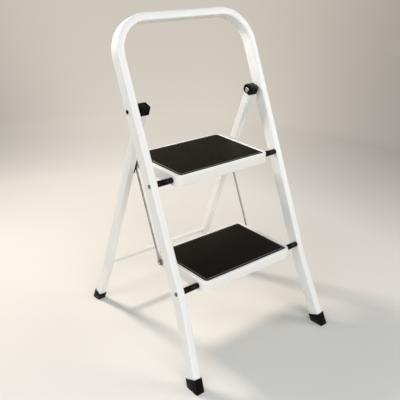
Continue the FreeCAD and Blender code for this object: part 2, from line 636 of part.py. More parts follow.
def make_step(level):
    """One step: its pressed pan, rubber mat, back axle and the clips on the axle."""
    y, z = f"{level}_bar_y", f"{level}_bar_z"
    middle = "step_depth / 2 - step_overhang"
    body = new_body(f"{level}_pan")
    outline = new_sketch(body, "outline", "XY_Plane", y=middle, z="step_rise")
    rounded_rectangle(outline, "step_width", "step_depth", "step_corner")
    block = pad(body, "block", outline, "step_skirt", downwards=True)
    faces = block.Shape.Faces
    top = max(range(len(faces)), key=lambda index: faces[index].CenterOfMass.z)
    rolled = body.newObject("PartDesign::Fillet", "rolled_edge")
    rolled.Base = (block, [f"Face{top + 1}"])
    bind(rolled, Radius="step_edge_round")
    doc.recompute()
    hollow = new_sketch(body, "hollow_outline", "XY_Plane", y=middle, z="step_rise - step_skirt")
    rounded_rectangle(hollow, "step_width - 2 * step_sheet", "step_depth - 2 * step_sheet",
                      "step_corner - step_sheet")
    pocket(body, "hollow", hollow, "step_skirt - step_edge_round", upwards=True)
    recess = new_sketch(body, "recess_outline", "XY_Plane", y=middle, z="step_rise")
    rounded_rectangle(recess, "mat_width + 2 * mat_clearance", "mat_depth + 2 * mat_clearance", "mat_corner")
    pocket(body, "recess", recess, "mat_recess")
    cross_hole(body, "bar_holes", "bar_hole", "0", "0")
    cross_hole(body, "axle_holes", "axle_hole", "axle_back", "0")
    node(place(body, y=y, z=z), f"{level}_step_pan")

    mat = new_body(f"{level}_mat")
    sheet = new_sketch(mat, "outline", "XY_Plane", y=middle, z="step_rise - mat_recess")
    rounded_rectangle(sheet, "mat_width", "mat_depth", "mat_corner - mat_clearance")
    pad(mat, "sheet", sheet, "mat_thickness")
    node(place(mat, y=y, z=z), f"{level}_step_mat")

    axle_y = f"{y} + axle_back"
    reach = "rear_inner_x - axle_end_gap" if level == "upper" else "clip_x + clip_thickness + lower_axle_stub"
    axle = round_bar(f"{level}_axle", "axle_diameter", f"0 - ({reach})", reach, axle_y, z)
    node(axle, f"{level}_step_axle")
    ends = (("clip_x", "clip_x + clip_thickness"), ("0 - clip_x - clip_thickness", "0 - clip_x"))
    pair = doc.addObject("Part::Compound", f"{level}_clips")
    pair.Links = [sleeve(f"{level}_clip", "clip_diameter", "axle_hole", *span, axle_y, z) for span in ends]
    node(pair, f"{level}_axle_clips")


def make_link_rods():
    """The wire rods that hang the lower step's back from the upper step, with a flattened eye at each end."""
    length = "(upper_bar_along - lower_bar_along)"
    wire = doc.addObject("Part::Cylinder", "rod_wire")
    bind(wire, Radius="rod_diameter / 2", Height=f"{length} - 2 * eye_middle")
    place(wire, x="rod_x", y="rod_offset", z="eye_middle")
    start, end = "rod_x - eye_thickness / 2", "rod_x + eye_thickness / 2"
    eyes = [round_bar("rod_eye", "eye_diameter", start, end, "0", height) for height in ("0", length)]
    bores = [round_bar("rod_bore", "axle_hole", start, end, "0", height) for height in ("0", length)]
    rod = cut("link_rod", fuse("rod_blank", wire, *eyes), *bores)
    place(rod, y="lower_bar_y + axle_back", z="lower_bar_z", axis=Vector(1, 0, 0), angle="0 - front_tilt")
    right = node(rod, "link_rod_right")
    mirrored_node(right, "link_rod_left")


def write_nodes():
    """Test every object and every piece, then write one STEP file for each piece."""
    doc.recompute()
    for item in doc.Objects:
        if "Invalid" in item.State or "Error" in item.State:
            raise RuntimeError(f"{item.Label}: {item.State}")
    for item in nodes:
        if item.Shape.isNull() or not item.Shape.isValid() or not item.Shape.Solids:
            raise RuntimeError(f"{item.Label} has no sound solid")
    os.makedirs("parts", exist_ok=True)
    for item in nodes:
        item.Shape.exportStep(f"parts/{item.Label}.step")


sizes = fill_sheet("Sizes", [(alias, str(size), note) for alias, size, note in DRIVING_SIZES])
for derived_alias, derived_text in DERIVED_SIZES:
    sheet_of[derived_alias] = "Derived"
fill_sheet("Derived", [(alias, f"={formula(text)}", text) for alias, text in DERIVED_SIZES])

make_handrail_frame()
make_front_feet()
for step_level in ("upper", "lower"):
    make_bar(step_level)
    make_step(step_level)
make_hinge_rivets()
make_rear_legs()
make_cross_tube()
make_rear_caps()
make_rear_feet()
make_saddles()
make_link_rods()
write_nodes()
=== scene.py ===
"""Looks of a folding step stool with a handrail loop and two treads."""

import json
import logging
import math
from dataclasses import dataclass
from enum import Enum
from functools import cached_property
from typing import Any, Sequence

import bpy
import bmesh
from mathutils import Matrix, Vector


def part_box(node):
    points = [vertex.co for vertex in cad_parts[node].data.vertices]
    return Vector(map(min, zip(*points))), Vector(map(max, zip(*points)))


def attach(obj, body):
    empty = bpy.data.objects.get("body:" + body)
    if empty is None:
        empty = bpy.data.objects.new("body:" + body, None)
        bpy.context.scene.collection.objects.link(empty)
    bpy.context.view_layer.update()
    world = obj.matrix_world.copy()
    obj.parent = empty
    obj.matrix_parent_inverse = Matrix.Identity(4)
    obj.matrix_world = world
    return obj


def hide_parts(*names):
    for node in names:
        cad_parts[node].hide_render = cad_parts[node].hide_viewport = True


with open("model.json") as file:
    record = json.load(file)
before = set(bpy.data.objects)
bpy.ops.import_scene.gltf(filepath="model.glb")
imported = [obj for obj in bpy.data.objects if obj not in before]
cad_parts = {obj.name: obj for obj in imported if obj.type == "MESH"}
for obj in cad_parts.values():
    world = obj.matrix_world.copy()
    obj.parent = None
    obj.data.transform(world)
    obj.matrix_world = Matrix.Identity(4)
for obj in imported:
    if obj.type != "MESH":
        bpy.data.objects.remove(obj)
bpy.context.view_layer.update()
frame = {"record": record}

LOG = logging.getLogger("step_stool")
MM = 0.001
# The range in which most of a noise texture's values lie
NOISE_MIDDLE = (0.3, 0.7)
# Points of a mesh that lie closer than this are one point
SAME_POINT = 1e-7
# Edges sharper than this many degrees are rounded by a bevel
BEVEL_ANGLE = 40.0

Piece = bpy.types.Object
Socket = bpy.types.NodeSocket
Span = tuple[float, float]
Triple = tuple[float, float, float]
Colour = tuple[float, float, float]
Outline = list[tuple[float, float]]
Ring = list[Vector]


class Side(Enum):
    """The half of the stool that a paired piece is on, with its sign along X."""

    RIGHT = 1
    LEFT = -1

    @property
    def word(self) -> str:
        """The side's name as the CAD names end with it."""
        return self.name.lower()


class Level(Enum):
    """The two treads, by the word that their CAD names begin with."""

    UPPER = "upper"
    LOWER = "lower"


class Slot(Enum):
    """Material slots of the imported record."""

    COAT = "white_powder_coat"
    PLASTIC = "black_plastic"
    RUBBER = "black_rubber"
    STEEL = "zinc_steel"


class Body(Enum):
    """The stool's moving bodies."""

    FRONT = "front_frame"
    REAR = "rear_frame"
    UPPER_STEP = "upper_step"
    LOWER_STEP = "lower_step"
    RIGHT_ROD = "right_rod"
    LEFT_ROD = "left_rod"


class Crease(Enum):
    """Edges sharper than this many degrees stay sharp."""

    CRISP = 30.0
    PLAIN = 35.0
    EASED = 40.0
    MOULDED = 50.0
    SOFT = 60.0


STEP_BODY = {Level.UPPER: Body.UPPER_STEP, Level.LOWER: Body.LOWER_STEP}
ROD_BODY = {Side.RIGHT: Body.RIGHT_ROD, Side.LEFT: Body.LEFT_ROD}


class NodeGraph:
    """Short calls for adding nodes to one node tree."""

    def __init__(self, tree: bpy.types.NodeTree) -> None:
        """Keep the tree that nodes are added to."""
        self.tree = tree

    def add(self, kind: str, inputs: dict[str | int, Any] | None = None, **settings: Any) -> bpy.types.Node:
        """Add a node, set it up and fill its sockets.

        Args:
            kind: Blender's type name of the node.
            inputs: Socket values by name or index.
            settings: Properties of the node itself.

        Returns:
            The new node.
        """
        node = self.tree.nodes.new(kind)
        for name, value in settings.items():
            setattr(node, name, value)
        self.fill(node, inputs or {})
        return node

    def fill(self, node: bpy.types.Node, inputs: dict[str | int, Any]) -> None:
        """Fill a node's sockets.

        Args:
            node: The node to fill.
            inputs: Socket values by name or index; an output socket is linked.
        """
        for socket, value in inputs.items():
            if isinstance(value, Socket):
                self.tree.links.new(value, node.inputs[socket])
            else:
                node.inputs[socket].default_value = value

    def noise(self, where: Socket, scale: float, detail: float = 2.0) -> Socket:
        """Give a noise value from 0 to 1, with so many blotches per metre."""
        node = self.add("ShaderNodeTexNoise", {"Vector": where, "Scale": scale, "Detail": detail})
        return node.outputs["Fac"]

    def ramp(self, value: Socket, start: Span, end: Span, **settings: Any) -> Socket:
        """Map a value from one range to another."""
        limits = dict(enumerate((value, *start, *end)))
        return self.add("ShaderNodeMapRange", limits, **settings).outputs["Result"]

    def calculate(self, operation: str, *values: Socket) -> Socket:
        """Work out one step of arithmetic."""
        return self.add("ShaderNodeMath", dict(enumerate(values)), operation=operation).outputs["Value"]

    def mix(self, factor: Socket, first: Colour, second: Colour) -> Socket:
        """Mix two colours by the second one's share."""
        sockets = {0: factor, 6: (*first, 1.0), 7: (*second, 1.0)}
        return self.add("ShaderNodeMix", sockets, data_type="RGBA").outputs[2]


@dataclass(frozen=True)
class Finish:
    """A surface with two clouded tones, a varying gloss and a fine relief.

    Scales count blotches per metre, and the relief is in metres.
    """

    name: str
    slot: Slot
    light: Colour
    dark: Colour
    cloud_scale: float
    gloss: Span
    gloss_scale: float
    grain_scale: float
    grain_height: float
    metallic: float = 0.0
    specular: float = 0.5
    cloud_detail: float = 4.0

    @cached_property
    def material(self) -> bpy.types.Material:
        """The finish as a node material, built on first use.

        Returns:
            The new material.
        """
        material = bpy.data.materials.new(self.name)
        material.use_nodes = True
        graph = NodeGraph(material.node_tree)
        where = self.coordinates(graph)
        cloud = graph.noise(where, self.cloud_scale, self.cloud_detail)
        relief = {"Height": self.relief(graph, where), "Distance": self.grain_height, "Strength": 1.0}
        graph.fill(graph.tree.nodes["Principled BSDF"], {
            "Base Color": graph.mix(graph.ramp(cloud, NOISE_MIDDLE, (0.0, 1.0)), self.light, self.dark),
            "Roughness": graph.ramp(graph.noise(where, self.gloss_scale), NOISE_MIDDLE, self.gloss),
            "Normal": graph.add("ShaderNodeBump", relief).outputs["Normal"],
            "Metallic": self.metallic,
            "Specular IOR Level": self.specular,
        })
        return material

    def coordinates(self, graph: NodeGraph) -> Socket:
        """Give the coordinates that the patterns read, in metres on the object."""
        return graph.add("ShaderNodeTexCoord").outputs["Object"]

    def relief(self, graph: NodeGraph, where: Socket) -> Socket:
        """Give the height of the surface's grain, from 0 to 1."""
        return graph.noise(where, self.grain_scale)


@dataclass(frozen=True)
class PebbledRubber(Finish):
    """Rubber with a pressed pebble grain, each pebble a rounded cell."""

    smoothness: float = 0.6

    def relief(self, graph: NodeGraph, where: Socket) -> Socket:
        """Give the height of the pebbles."""
        inputs = {"Vector": where, "Scale": self.grain_scale, "Smoothness": self.smoothness}
        return graph.add("ShaderNodeTexVoronoi", inputs, feature="SMOOTH_F1").outputs["Distance"]


@dataclass(frozen=True)
class DrawnSteel(Finish):
    """Zinc-plated steel with fine streaks along the drawn wire or bar."""

    lean: float = 0.0
    streak: Triple = (0.02, 1.0, 1.0)

    def coordinates(self, graph: NodeGraph) -> Socket:
        """Stretch the coordinates along the streaks.

        Args:
            graph: Node tree of the material.

        Returns:
            Coordinates turned by the lean and scaled along the streaks.
        """
        where = super().coordinates(graph)
        turned = {"Vector": where, "Rotation": (self.lean, 0.0, 0.0), "Scale": self.streak}
        return graph.add("ShaderNodeMapping", turned).outputs["Vector"]


@dataclass
class Finishes:
    """The stool's finishes. The link wires lean as the front legs do."""

    lean: float

    def __post_init__(self) -> None:
        """Set every finish."""
        self.coat = Finish(
            "powder_coat", Slot.COAT, light=(0.80, 0.80, 0.775), dark=(0.765, 0.762, 0.735), cloud_scale=7.0,
            gloss=(0.30, 0.40), gloss_scale=40.0, grain_scale=520.0, grain_height=0.000035,
        )
        self.plastic = Finish(
            "moulded_plastic", Slot.PLASTIC, light=(0.0036, 0.0034, 0.0031), dark=(0.0021, 0.0020, 0.0018),
            cloud_scale=45.0, gloss=(0.21, 0.31), gloss_scale=120.0, grain_scale=2600.0, grain_height=0.00002,
            specular=0.10,
        )
        self.rubber = PebbledRubber(
            "tread_rubber", Slot.RUBBER, light=(0.0084, 0.0068, 0.0042), dark=(0.0058, 0.0047, 0.0030),
            cloud_scale=26.0, gloss=(0.46, 0.60), gloss_scale=180.0, grain_scale=850.0, grain_height=0.00008,
            specular=0.06,
        )
        # The welt's pale colour, far lighter than the mat's rubber, is a painted highlight line along the
        # bead
        self.welt = Finish(
            "welt_rubber", Slot.RUBBER, light=(0.150, 0.143, 0.125), dark=(0.105, 0.100, 0.088),
            cloud_scale=60.0, gloss=(0.40, 0.55), gloss_scale=180.0, grain_scale=900.0, grain_height=0.00003,
            specular=0.3,
        )
        self.steel = DrawnSteel(
            "zinc_bar", Slot.STEEL, light=(0.62, 0.62, 0.60), dark=(0.46, 0.46, 0.45), cloud_scale=240.0,
            gloss=(0.24, 0.38), gloss_scale=420.0, grain_scale=1500.0, grain_height=0.00001, metallic=1.0,
        )
        self.wire = DrawnSteel(
            "zinc_wire", Slot.STEEL, light=(0.30, 0.29, 0.28), dark=(0.18, 0.175, 0.17), cloud_scale=240.0,
            gloss=(0.22, 0.34), gloss_scale=420.0, grain_scale=1500.0, grain_height=0.00001, metallic=1.0,
            lean=self.lean, streak=(1.0, 1.0, 0.02),
        )


@dataclass(frozen=True)
class Stance:
    """Axes and floor contacts of the open stool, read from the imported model."""

    hinge: Vector
    bars: dict[Level, Vector]
    axles: dict[Level, Vector]
    front_toe: Vector
    rear_toe: Vector

    @classmethod
    def read(cls, record: dict[str, Any]) -> "Stance":
        """Read the places from the record and the CAD nodes.

        Args:
            record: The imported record.

        Returns:
            The open stool's places, in metres.
        """
        joints = {joint["name"]: Vector(joint["pos_m"]) for joint in record["behaviour"]["joints"]}
        soles = {mount["name"]: Vector(mount["pos_m"]) for mount in record["mounts"]}
        return cls(
            hinge=joints["rear_frame_fold"],
            bars={level: joints[f"{level.value}_step_fold"] for level in Level},
            axles={level: middle(f"{level.value}_step_axle") for level in Level},
            front_toe=soles["front_right_foot_sole"],
            rear_toe=soles["rear_right_foot_sole"],
        )

    @property
    def front_tilt(self) -> float:
        """Angle of the front legs from upright, leaning backwards."""
        rise = self.bars[Level.UPPER] - self.bars[Level.LOWER]
        return math.atan2(rise.y, rise.z)

    @property
    def rear_tilt(self) -> float:
        """Angle of the rear legs from upright, leaning forwards."""
        return math.atan2(self.rear_toe.y - self.hinge.y, self.hinge.z)

    @property
    def rear_length(self) -> float:
        """Length of the rear legs from the floor to the hinge."""
        return math.hypot(self.rear_toe.y - self.hinge.y, self.hinge.z)

    def front_plane(self) -> Matrix:
        """Place of the front legs' plane: X across, Y behind it, Z up along the legs."""
        return Matrix.Translation((0, self.front_toe.y, 0)) @ Matrix.Rotation(-self.front_tilt, 4, "X")

    def rear_plane(self) -> Matrix:
        """Place of the rear legs' plane: X across, Y behind it, Z up along the legs."""
        return Matrix.Translation((0, self.rear_toe.y, 0)) @ Matrix.Rotation(self.rear_tilt, 4, "X")


def middle(node: str) -> Vector:
    """Give the middle of a CAD node's box."""
    low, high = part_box(node)
    return (low + high) / 2


def both(node: str) -> list[str]:
    """Name the right and the left node of a CAD pair."""
    return [f"{node}_{side.word}" for side in Side]


def inner_ends(node: str) -> list[Vector]:
    """Give the inner ends of the right and the left piece of a CAD pair, on their lines along X."""
    low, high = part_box(f"{node}_right")
    return [Vector((side.value * low.x, *((low + high) / 2).yz)) for side in Side]


def turns(count: int) -> list[float]:
    """Divide a full turn into even steps."""
    return [step / count * math.tau for step in range(count)]


def rounded_rectangle(width: float, depth: float, radius: float, steps: int) -> Outline:
    """Outline a rectangle with round corners about the origin.

    Args:
        width: Size along the first axis.
        depth: Size along the second axis.
        radius: Radius of the corners.
        steps: Segments in each corner.

    Returns:
        Points in counter-clockwise order.
    """
    points = []
    for quarter, (across_sign, along_sign) in enumerate(((1, 1), (-1, 1), (-1, -1), (1, -1))):
        centre = (across_sign * (width / 2 - radius), along_sign * (depth / 2 - radius))
        for step in range(steps + 1):
            angle = (quarter + step / steps) * math.pi / 2
            points.append((centre[0] + radius * math.cos(angle), centre[1] + radius * math.sin(angle)))
    return points


def soft_polygon(corners: Sequence[Triple], steps: int = 4) -> Outline:
    """Outline a polygon whose corners are rounded.

    Args:
        corners: Two coordinates and a rounding length for each corner.
        steps: Segments in each rounded corner.

    Returns:
        Points in the order of the corners.
    """
    points = []
    for index, (first, second, cut) in enumerate(corners):
        corner = Vector((first, second))
        if cut == 0:
            points.append((first, second))
            continue
        before = Vector(corners[index - 1][:2]) - corner
        after = Vector(corners[(index + 1) % len(corners)][:2]) - corner
        start = corner + before.normalized() * cut
        end = corner + after.normalized() * cut
        for step in range(steps + 1):
            share = step / steps
            near = start.lerp(corner, share)
            far = corner.lerp(end, share)
            points.append(tuple(near.lerp(far, share)))
    return points


def round_edge(radius: float, steps: int = 4) -> Outline:
    """Follow a rounded edge from top to wall, as pairs of inset from the wall and drop below the top."""
    angles = [step / steps * math.pi / 2 for step in range(steps + 1)]
    return [(radius * (1 - math.sin(angle)), radius * (1 - math.cos(angle))) for angle in angles]


def mirrored(half: Outline) -> Outline:
    """Complete a turned profile of height and radius that is alike on both sides of its middle."""
    return [(-height, radius) for height, radius in reversed(half)] + half[1:]


def dome(
    height: float, radius: float, rim: float, steps: int = 6, full_share: float = 0.3, end_share: float = 0.97
) -> Outline:
    """Profile a domed head from its seat outwards.

    Args:
        height: How far the head stands out.
        radius: Radius of the head.
        rim: Height of the straight rim below the dome.
        steps: Segments of the dome.
        full_share: Share of the rim's height from which the radius is full.
        end_share: Share of the radius at the seat, and of the quarter turn at the crown.

    Returns:
        Pairs of height and radius, from the seat to the crown.
    """
    profile = [(0.0, radius * end_share), (rim * full_share, radius), (rim, radius)]
    for step in range(1, steps + 1):
        angle = step / steps * math.pi / 2 * end_share
        profile.append((rim + (height - rim) * math.sin(angle), radius * math.cos(angle)))
    return profile


def rivet(node: str, head: float, rim: float, shank: float) -> Outline:
    """Profile a rivet of a CAD node's length and width, from its crown to the end of its shank.

    Args:
        node: CAD name of the rivet.
        head: Height of the domed head.
        rim: Height of the head's straight rim.
        shank: Radius of the shank.

    Returns:
        Pairs of height and radius.
    """
    low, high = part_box(node)
    inward = dome(head, (high.z - low.z) / 2, rim)
    profile = [(head - height, radius) for height, radius in reversed(inward)]
    return profile + [(head, shank), (high.x - low.x, shank)]


def add_object(name: str, data: bpy.types.ID) -> Piece:
    """Put a mesh, a light or a camera into the scene.

    Args:
        name: Name of the object.
        data: What the object holds.

    Returns:
        The new object.
    """
    piece = bpy.data.objects.new(name, data)
    bpy.context.scene.collection.objects.link(piece)
    return piece


def new_mesh(name: str, points: Sequence[Sequence[float]], faces: Sequence[Sequence[int]]) -> Piece:
    """Make an object from points and faces, with its faces turned outwards.

    Args:
        name: Name of the piece.
        points: Vertices in metres.
        faces: Vertex indices of each face.

    Returns:
        The new object, in the scene.
    """
    mesh = bpy.data.meshes.new(name)
    mesh.from_pydata([tuple(point) for point in points], [], faces)
    shell = bmesh.new()
    shell.from_mesh(mesh)
    bmesh.ops.remove_doubles(shell, verts=shell.verts, dist=SAME_POINT)
    bmesh.ops.recalc_face_normals(shell, faces=shell.faces)
    shell.to_mesh(mesh)
    shell.free()
    return add_object(name, mesh)


def loft(name: str, rings: Sequence[Ring], endless: bool = False) -> Piece:
    """Skin a row of rings into a closed shell.

    Args:
        name: Name of the piece.
        rings: Closed rings with the same number of points.
        endless: Join the last ring to the first instead of closing both ends.

    Returns:
        The new object.
    """
    count = len(rings[0])
    points = [point for ring in rings for point in ring]
    faces = []
    for row in range(len(rings) if endless else len(rings) - 1):
        near = row * count
        far = (row + 1) % len(rings) * count
        for column in range(count):
            following = (column + 1) % count
            faces.append((near + column, near + following, far + following, far + column))
    if not endless:
        faces.append(tuple(reversed(range(count))))
        faces.append(tuple(range(len(points) - count, len(points))))
    return new_mesh(name, points, faces)


def lathe(name: str, profile: Outline, place: Matrix, endless: bool = False, segments: int = 40) -> Piece:
    """Turn a profile about the place's Z axis.

    Args:
        name: Name of the piece.
        profile: Pairs of height and radius.
        place: Where the turned piece goes.
        endless: The profile is a closed loop, as for a ring.
        segments: Sides of the turned piece.

    Returns:
        The new object.
    """
    angles = turns(segments)
    rings = [
        [place @ Vector((radius * math.cos(angle), radius * math.sin(angle), height)) for angle in angles]
        for height, radius in profile
    ]
    return loft(name, rings, endless)


def across(point: Vector, side: Side = Side.RIGHT) -> Matrix:
    """Give a place whose Z axis points outwards along X on a side."""
    return Matrix.Translation(point) @ Matrix.Rotation(side.value * math.pi / 2, 4, "Y")


def settle(piece: Piece) -> None:
    """Turn a piece's modifiers into its plain mesh.

    Args:
        piece: Object whose modifiers are applied and removed.
    """
    graph = bpy.context.evaluated_depsgraph_get()
    mesh = bpy.data.meshes.new_from_object(piece.evaluated_get(graph), depsgraph=graph)
    piece.modifiers.clear()
    piece.data = mesh


def bevel(piece: Piece, width: float, segments: int = 3) -> None:
    """Round a piece's sharp edges.

    Args:
        piece: Object to change.
        width: Width of the rounding.
        segments: Segments of the rounding.
    """
    modifier = piece.modifiers.new("edges", "BEVEL")
    modifier.width = width
    modifier.segments = segments
    modifier.limit_method = "ANGLE"
    modifier.angle_limit = math.radians(BEVEL_ANGLE)
    settle(piece)


def merged(name: str, parts: Sequence[Piece]) -> Piece:
    """Put several shells into one object.

    Args:
        name: Name of the piece.
        parts: Objects that are used up.

    Returns:
        The new object.
    """
    shells = bmesh.new()
    for part in parts:
        shells.from_mesh(part.data)
        bpy.data.objects.remove(part)
    mesh = bpy.data.meshes.new(name)
    shells.to_mesh(mesh)
    shells.free()
    return add_object(name, mesh)


def dress(
    piece: Piece, finish: Finish, body: Body, nodes: Sequence[str], crease: Crease = Crease.PLAIN
) -> None:
    """Give a piece its finish, its body and the CAD nodes it stands for.

    Args:
        piece: The finished mesh.
        finish: Its material and the record's slot for it.
        body: The body that it moves with.
        nodes: CAD nodes that it replaces.
        crease: How sharp an edge has to be to stay sharp.
    """
    piece.data.materials.clear()
    piece.data.materials.append(finish.material)
    piece.data.shade_smooth()
    piece.data.set_sharp_from_angle(angle=math.radians(crease.value))
    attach(piece, body.value)
    if nodes:
        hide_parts(*nodes)
    LOG.info("%s rides on %s with %d faces", piece.name, body.value, len(piece.data.polygons))


class TreeInput(Enum):
    """Kinds of named inputs on a geometry tree."""

    GEOMETRY = "NodeSocketGeometry"
    LENGTH = "NodeSocketFloat"
    VECTOR = "NodeSocketVector"
    OBJECT = "NodeSocketObject"


class GeometryTree:
    """A geometry node tree with named inputs, used as a modifier and settled."""

    def __init__(self, name: str, inputs: dict[str, TreeInput]) -> None:
        """Start a tree whose first input and only output are geometry.

        Args:
            name: Name of the tree.
            inputs: Further inputs by name.
        """
        self.tree = bpy.data.node_groups.new(name, "GeometryNodeTree")
        for label, kind in {"Geometry": TreeInput.GEOMETRY, **inputs}.items():
            self.tree.interface.new_socket(name=label, in_out="INPUT", socket_type=kind.value)
        result = TreeInput.GEOMETRY.value
        self.tree.interface.new_socket(name="Geometry", in_out="OUTPUT", socket_type=result)
        self.graph = NodeGraph(self.tree)
        self.given = self.graph.add("NodeGroupInput").outputs

    def close(self, geometry: Socket) -> None:
        """Realise the geometry and end the tree."""
        plain = self.graph.add("GeometryNodeRealizeInstances", {"Geometry": geometry}).outputs[0]
        self.graph.add("NodeGroupOutput", {"Geometry": plain})

    def apply(self, piece: Piece, values: dict[str, Any]) -> None:
        """Run the tree on a piece and keep the result as its mesh.

        Args:
            piece: Object whose mesh the tree reads.
            values: Input values by name.
        """
        modifier = piece.modifiers.new(self.tree.name, "NODES")
        modifier.node_group = self.tree
        for item in self.tree.interface.items_tree:
            if item.in_out == "INPUT" and item.name in values:
                modifier[item.identifier] = values[item.name]
        settle(piece)


class BentTube(GeometryTree):
    """Rounded rectangular tube along bent centre lines that lie in one plane."""

    BEND_STEPS = 20
    CORNER_STEPS = 6

    def __init__(self) -> None:
        """Build the tree: fillet the line, then sweep the rounded profile along it."""
        super().__init__("bent_tube", {
            "Width": TreeInput.LENGTH, "Depth": TreeInput.LENGTH, "Corner": TreeInput.LENGTH,
            "Plane Normal": TreeInput.VECTOR,
        })
        graph, given = self.graph, self.given
        line = graph.add("GeometryNodeMeshToCurve", {"Mesh": given["Geometry"]}).outputs[0]
        bend = graph.add("GeometryNodeInputNamedAttribute", {"Name": "bend"}, data_type="FLOAT").outputs[0]
        rounding = {"Curve": line, "Count": self.BEND_STEPS, "Radius": bend}
        bent = graph.add("GeometryNodeFilletCurve", rounding, mode="POLY").outputs[0]
        facing = {"Curve": bent, "Normal": given["Plane Normal"]}
        turned = graph.add("GeometryNodeSetCurveNormal", facing, mode="FREE").outputs[0]
        sizes = {"Width": given["Depth"], "Height": given["Width"]}
        square = graph.add("GeometryNodeCurvePrimitiveQuadrilateral", sizes).outputs[0]
        corners = {"Curve": square, "Count": self.CORNER_STEPS, "Radius": given["Corner"]}
        profile = graph.add("GeometryNodeFilletCurve", corners, mode="POLY").outputs[0]
        sweep = {"Curve": turned, "Profile Curve": profile, "Fill Caps": True}
        self.close(graph.add("GeometryNodeCurveToMesh", sweep).outputs[0])

    def sweep(
        self, name: str, lines: Sequence[Sequence[tuple[Vector, float]]], size: Triple, normal: Vector
    ) -> Piece:
        """Make tubes along centre lines.

        Args:
            name: Name of the piece.
            lines: For each tube, its corner points and the bend radius at each.
            size: Width in the plane, depth across the plane and corner radius of the tube.
            normal: Normal of the plane of the lines.

        Returns:
            The tubes as one object.
        """
        points = [point for line in lines for point, _ in line]
        bends = [bend for line in lines for _, bend in line]
        edges = []
        first = 0
        for line in lines:
            edges += [(first + step, first + step + 1) for step in range(len(line) - 1)]
            first += len(line)
        mesh = bpy.data.meshes.new(name)
        mesh.from_pydata([tuple(point) for point in points], edges, [])
        mesh.attributes.new("bend", "FLOAT", "POINT").data.foreach_set("value", bends)
        piece = add_object(name, mesh)
        width, depth, corner = size
        self.apply(piece, {"Width": width, "Depth": depth, "Corner": corner, "Plane Normal": tuple(normal)})
        return piece


class SidePairs(GeometryTree):
    """One turned piece repeated on points, each facing outwards along X."""

    def __init__(self) -> None:
        """Build the tree: turn each copy to its point's side."""
        super().__init__("side_pairs", {"Shape": TreeInput.OBJECT})
        graph, given = self.graph, self.given
        place = graph.add("GeometryNodeInputPosition").outputs[0]
        split = graph.add("ShaderNodeSeparateXYZ", {"Vector": place}).outputs["X"]
        outwards = graph.add("ShaderNodeCombineXYZ", {"X": graph.calculate("SIGN", split)}).outputs[0]
        turn = graph.add("FunctionNodeAlignRotationToVector", {"Vector": outwards}, axis="Z").outputs[0]
        shape = graph.add("GeometryNodeObjectInfo", {"Object": given["Shape"]}).outputs["Geometry"]
        copies = {"Points": given["Geometry"], "Instance": shape, "Rotation": turn}
        self.close(graph.add("GeometryNodeInstanceOnPoints", copies).outputs[0])

    def repeat(self, name: str, profile: Outline, points: Sequence[Vector], endless: bool = False) -> Piece:
        """Turn a profile and repeat the turned shape.

        Args:
            name: Name of the piece.
            profile: Pairs of distance outwards from the point and radius.
            points: Where the copies go.
            endless: The profile is a closed loop, as for a ring.

        Returns:
            All copies as one object.
        """
        shape = lathe(f"{name}_shape", profile, Matrix.Identity(4), endless)
        piece = new_mesh(name, points, [])
        self.apply(piece, {"Shape": shape})
        bpy.data.objects.remove(shape)
        return piece


@dataclass
class TubeFoot:
    """Moulded foot over a tube end, cut flat where it stands on the floor.

    The groove's section pairs heights above the floor, in mm, with shares of the groove's depth.
    """

    tube_width: float
    tube_depth: float
    height: float
    wall: float = 2.0 * MM
    corner: float = 2.5 * MM
    least_corner: float = 0.6 * MM
    corner_steps: int = 4
    edge: float = 0.9 * MM
    groove: float = 0.45 * MM
    groove_section: tuple[Span, ...] = ((2.9, 0.0), (3.3, 1.0), (3.5, 1.0), (3.9, 0.0))
    socket: float = 6.0 * MM
    socket_gap: float = 0.05 * MM

    def build(self, name: str, place: Matrix) -> Piece:
        """Loft the foot from its sole up to the rim round the tube.

        Args:
            name: Name of the foot.
            place: Frame of the tube end: Z up along the tube, floor at height 0.

        Returns:
            The new object.
        """
        edge = round_edge(self.edge)
        rings = [self.sole_ring(place, inset, drop) for inset, drop in edge]
        rings += [
            self.sole_ring(place, self.groove * share, rise * MM) for rise, share in self.groove_section
        ]
        rings += [self.rim_ring(place, inset, drop) for inset, drop in reversed(edge)]
        inside = self.wall + self.socket_gap
        for inset, depth in ((inside - self.edge, 0.0), (inside, self.edge), (inside, self.socket)):
            rings.append(self.rim_ring(place, inset, depth))
        return loft(name, rings)

    def sole_ring(self, place: Matrix, inset: float, rise: float) -> Ring:
        """Give one ring at an even height above the floor.

        Args:
            place: Frame of the tube end.
            inset: How far the ring lies inside the outer wall.
            rise: Height above the floor, along the tube.

        Returns:
            The ring's points.
        """
        slope = place.row[2]
        points = []
        for first, second in self.outline(inset):
            floor = -(slope[0] * first + slope[1] * second + slope[3]) / slope[2]
            points.append(place @ Vector((first, second, floor + rise)))
        return points

    def rim_ring(self, place: Matrix, inset: float, depth: float) -> Ring:
        """Give one ring square to the tube, that far inside the outer wall and below the rim."""
        return [place @ Vector((first, second, self.height - depth)) for first, second in self.outline(inset)]

    def outline(self, inset: float) -> Outline:
        """Outline the foot that far inside its outer wall."""
        radius, grown = max(self.corner - inset, self.least_corner), 2 * (self.wall - inset)
        return rounded_rectangle(self.tube_width + grown, self.tube_depth + grown, radius, self.corner_steps)


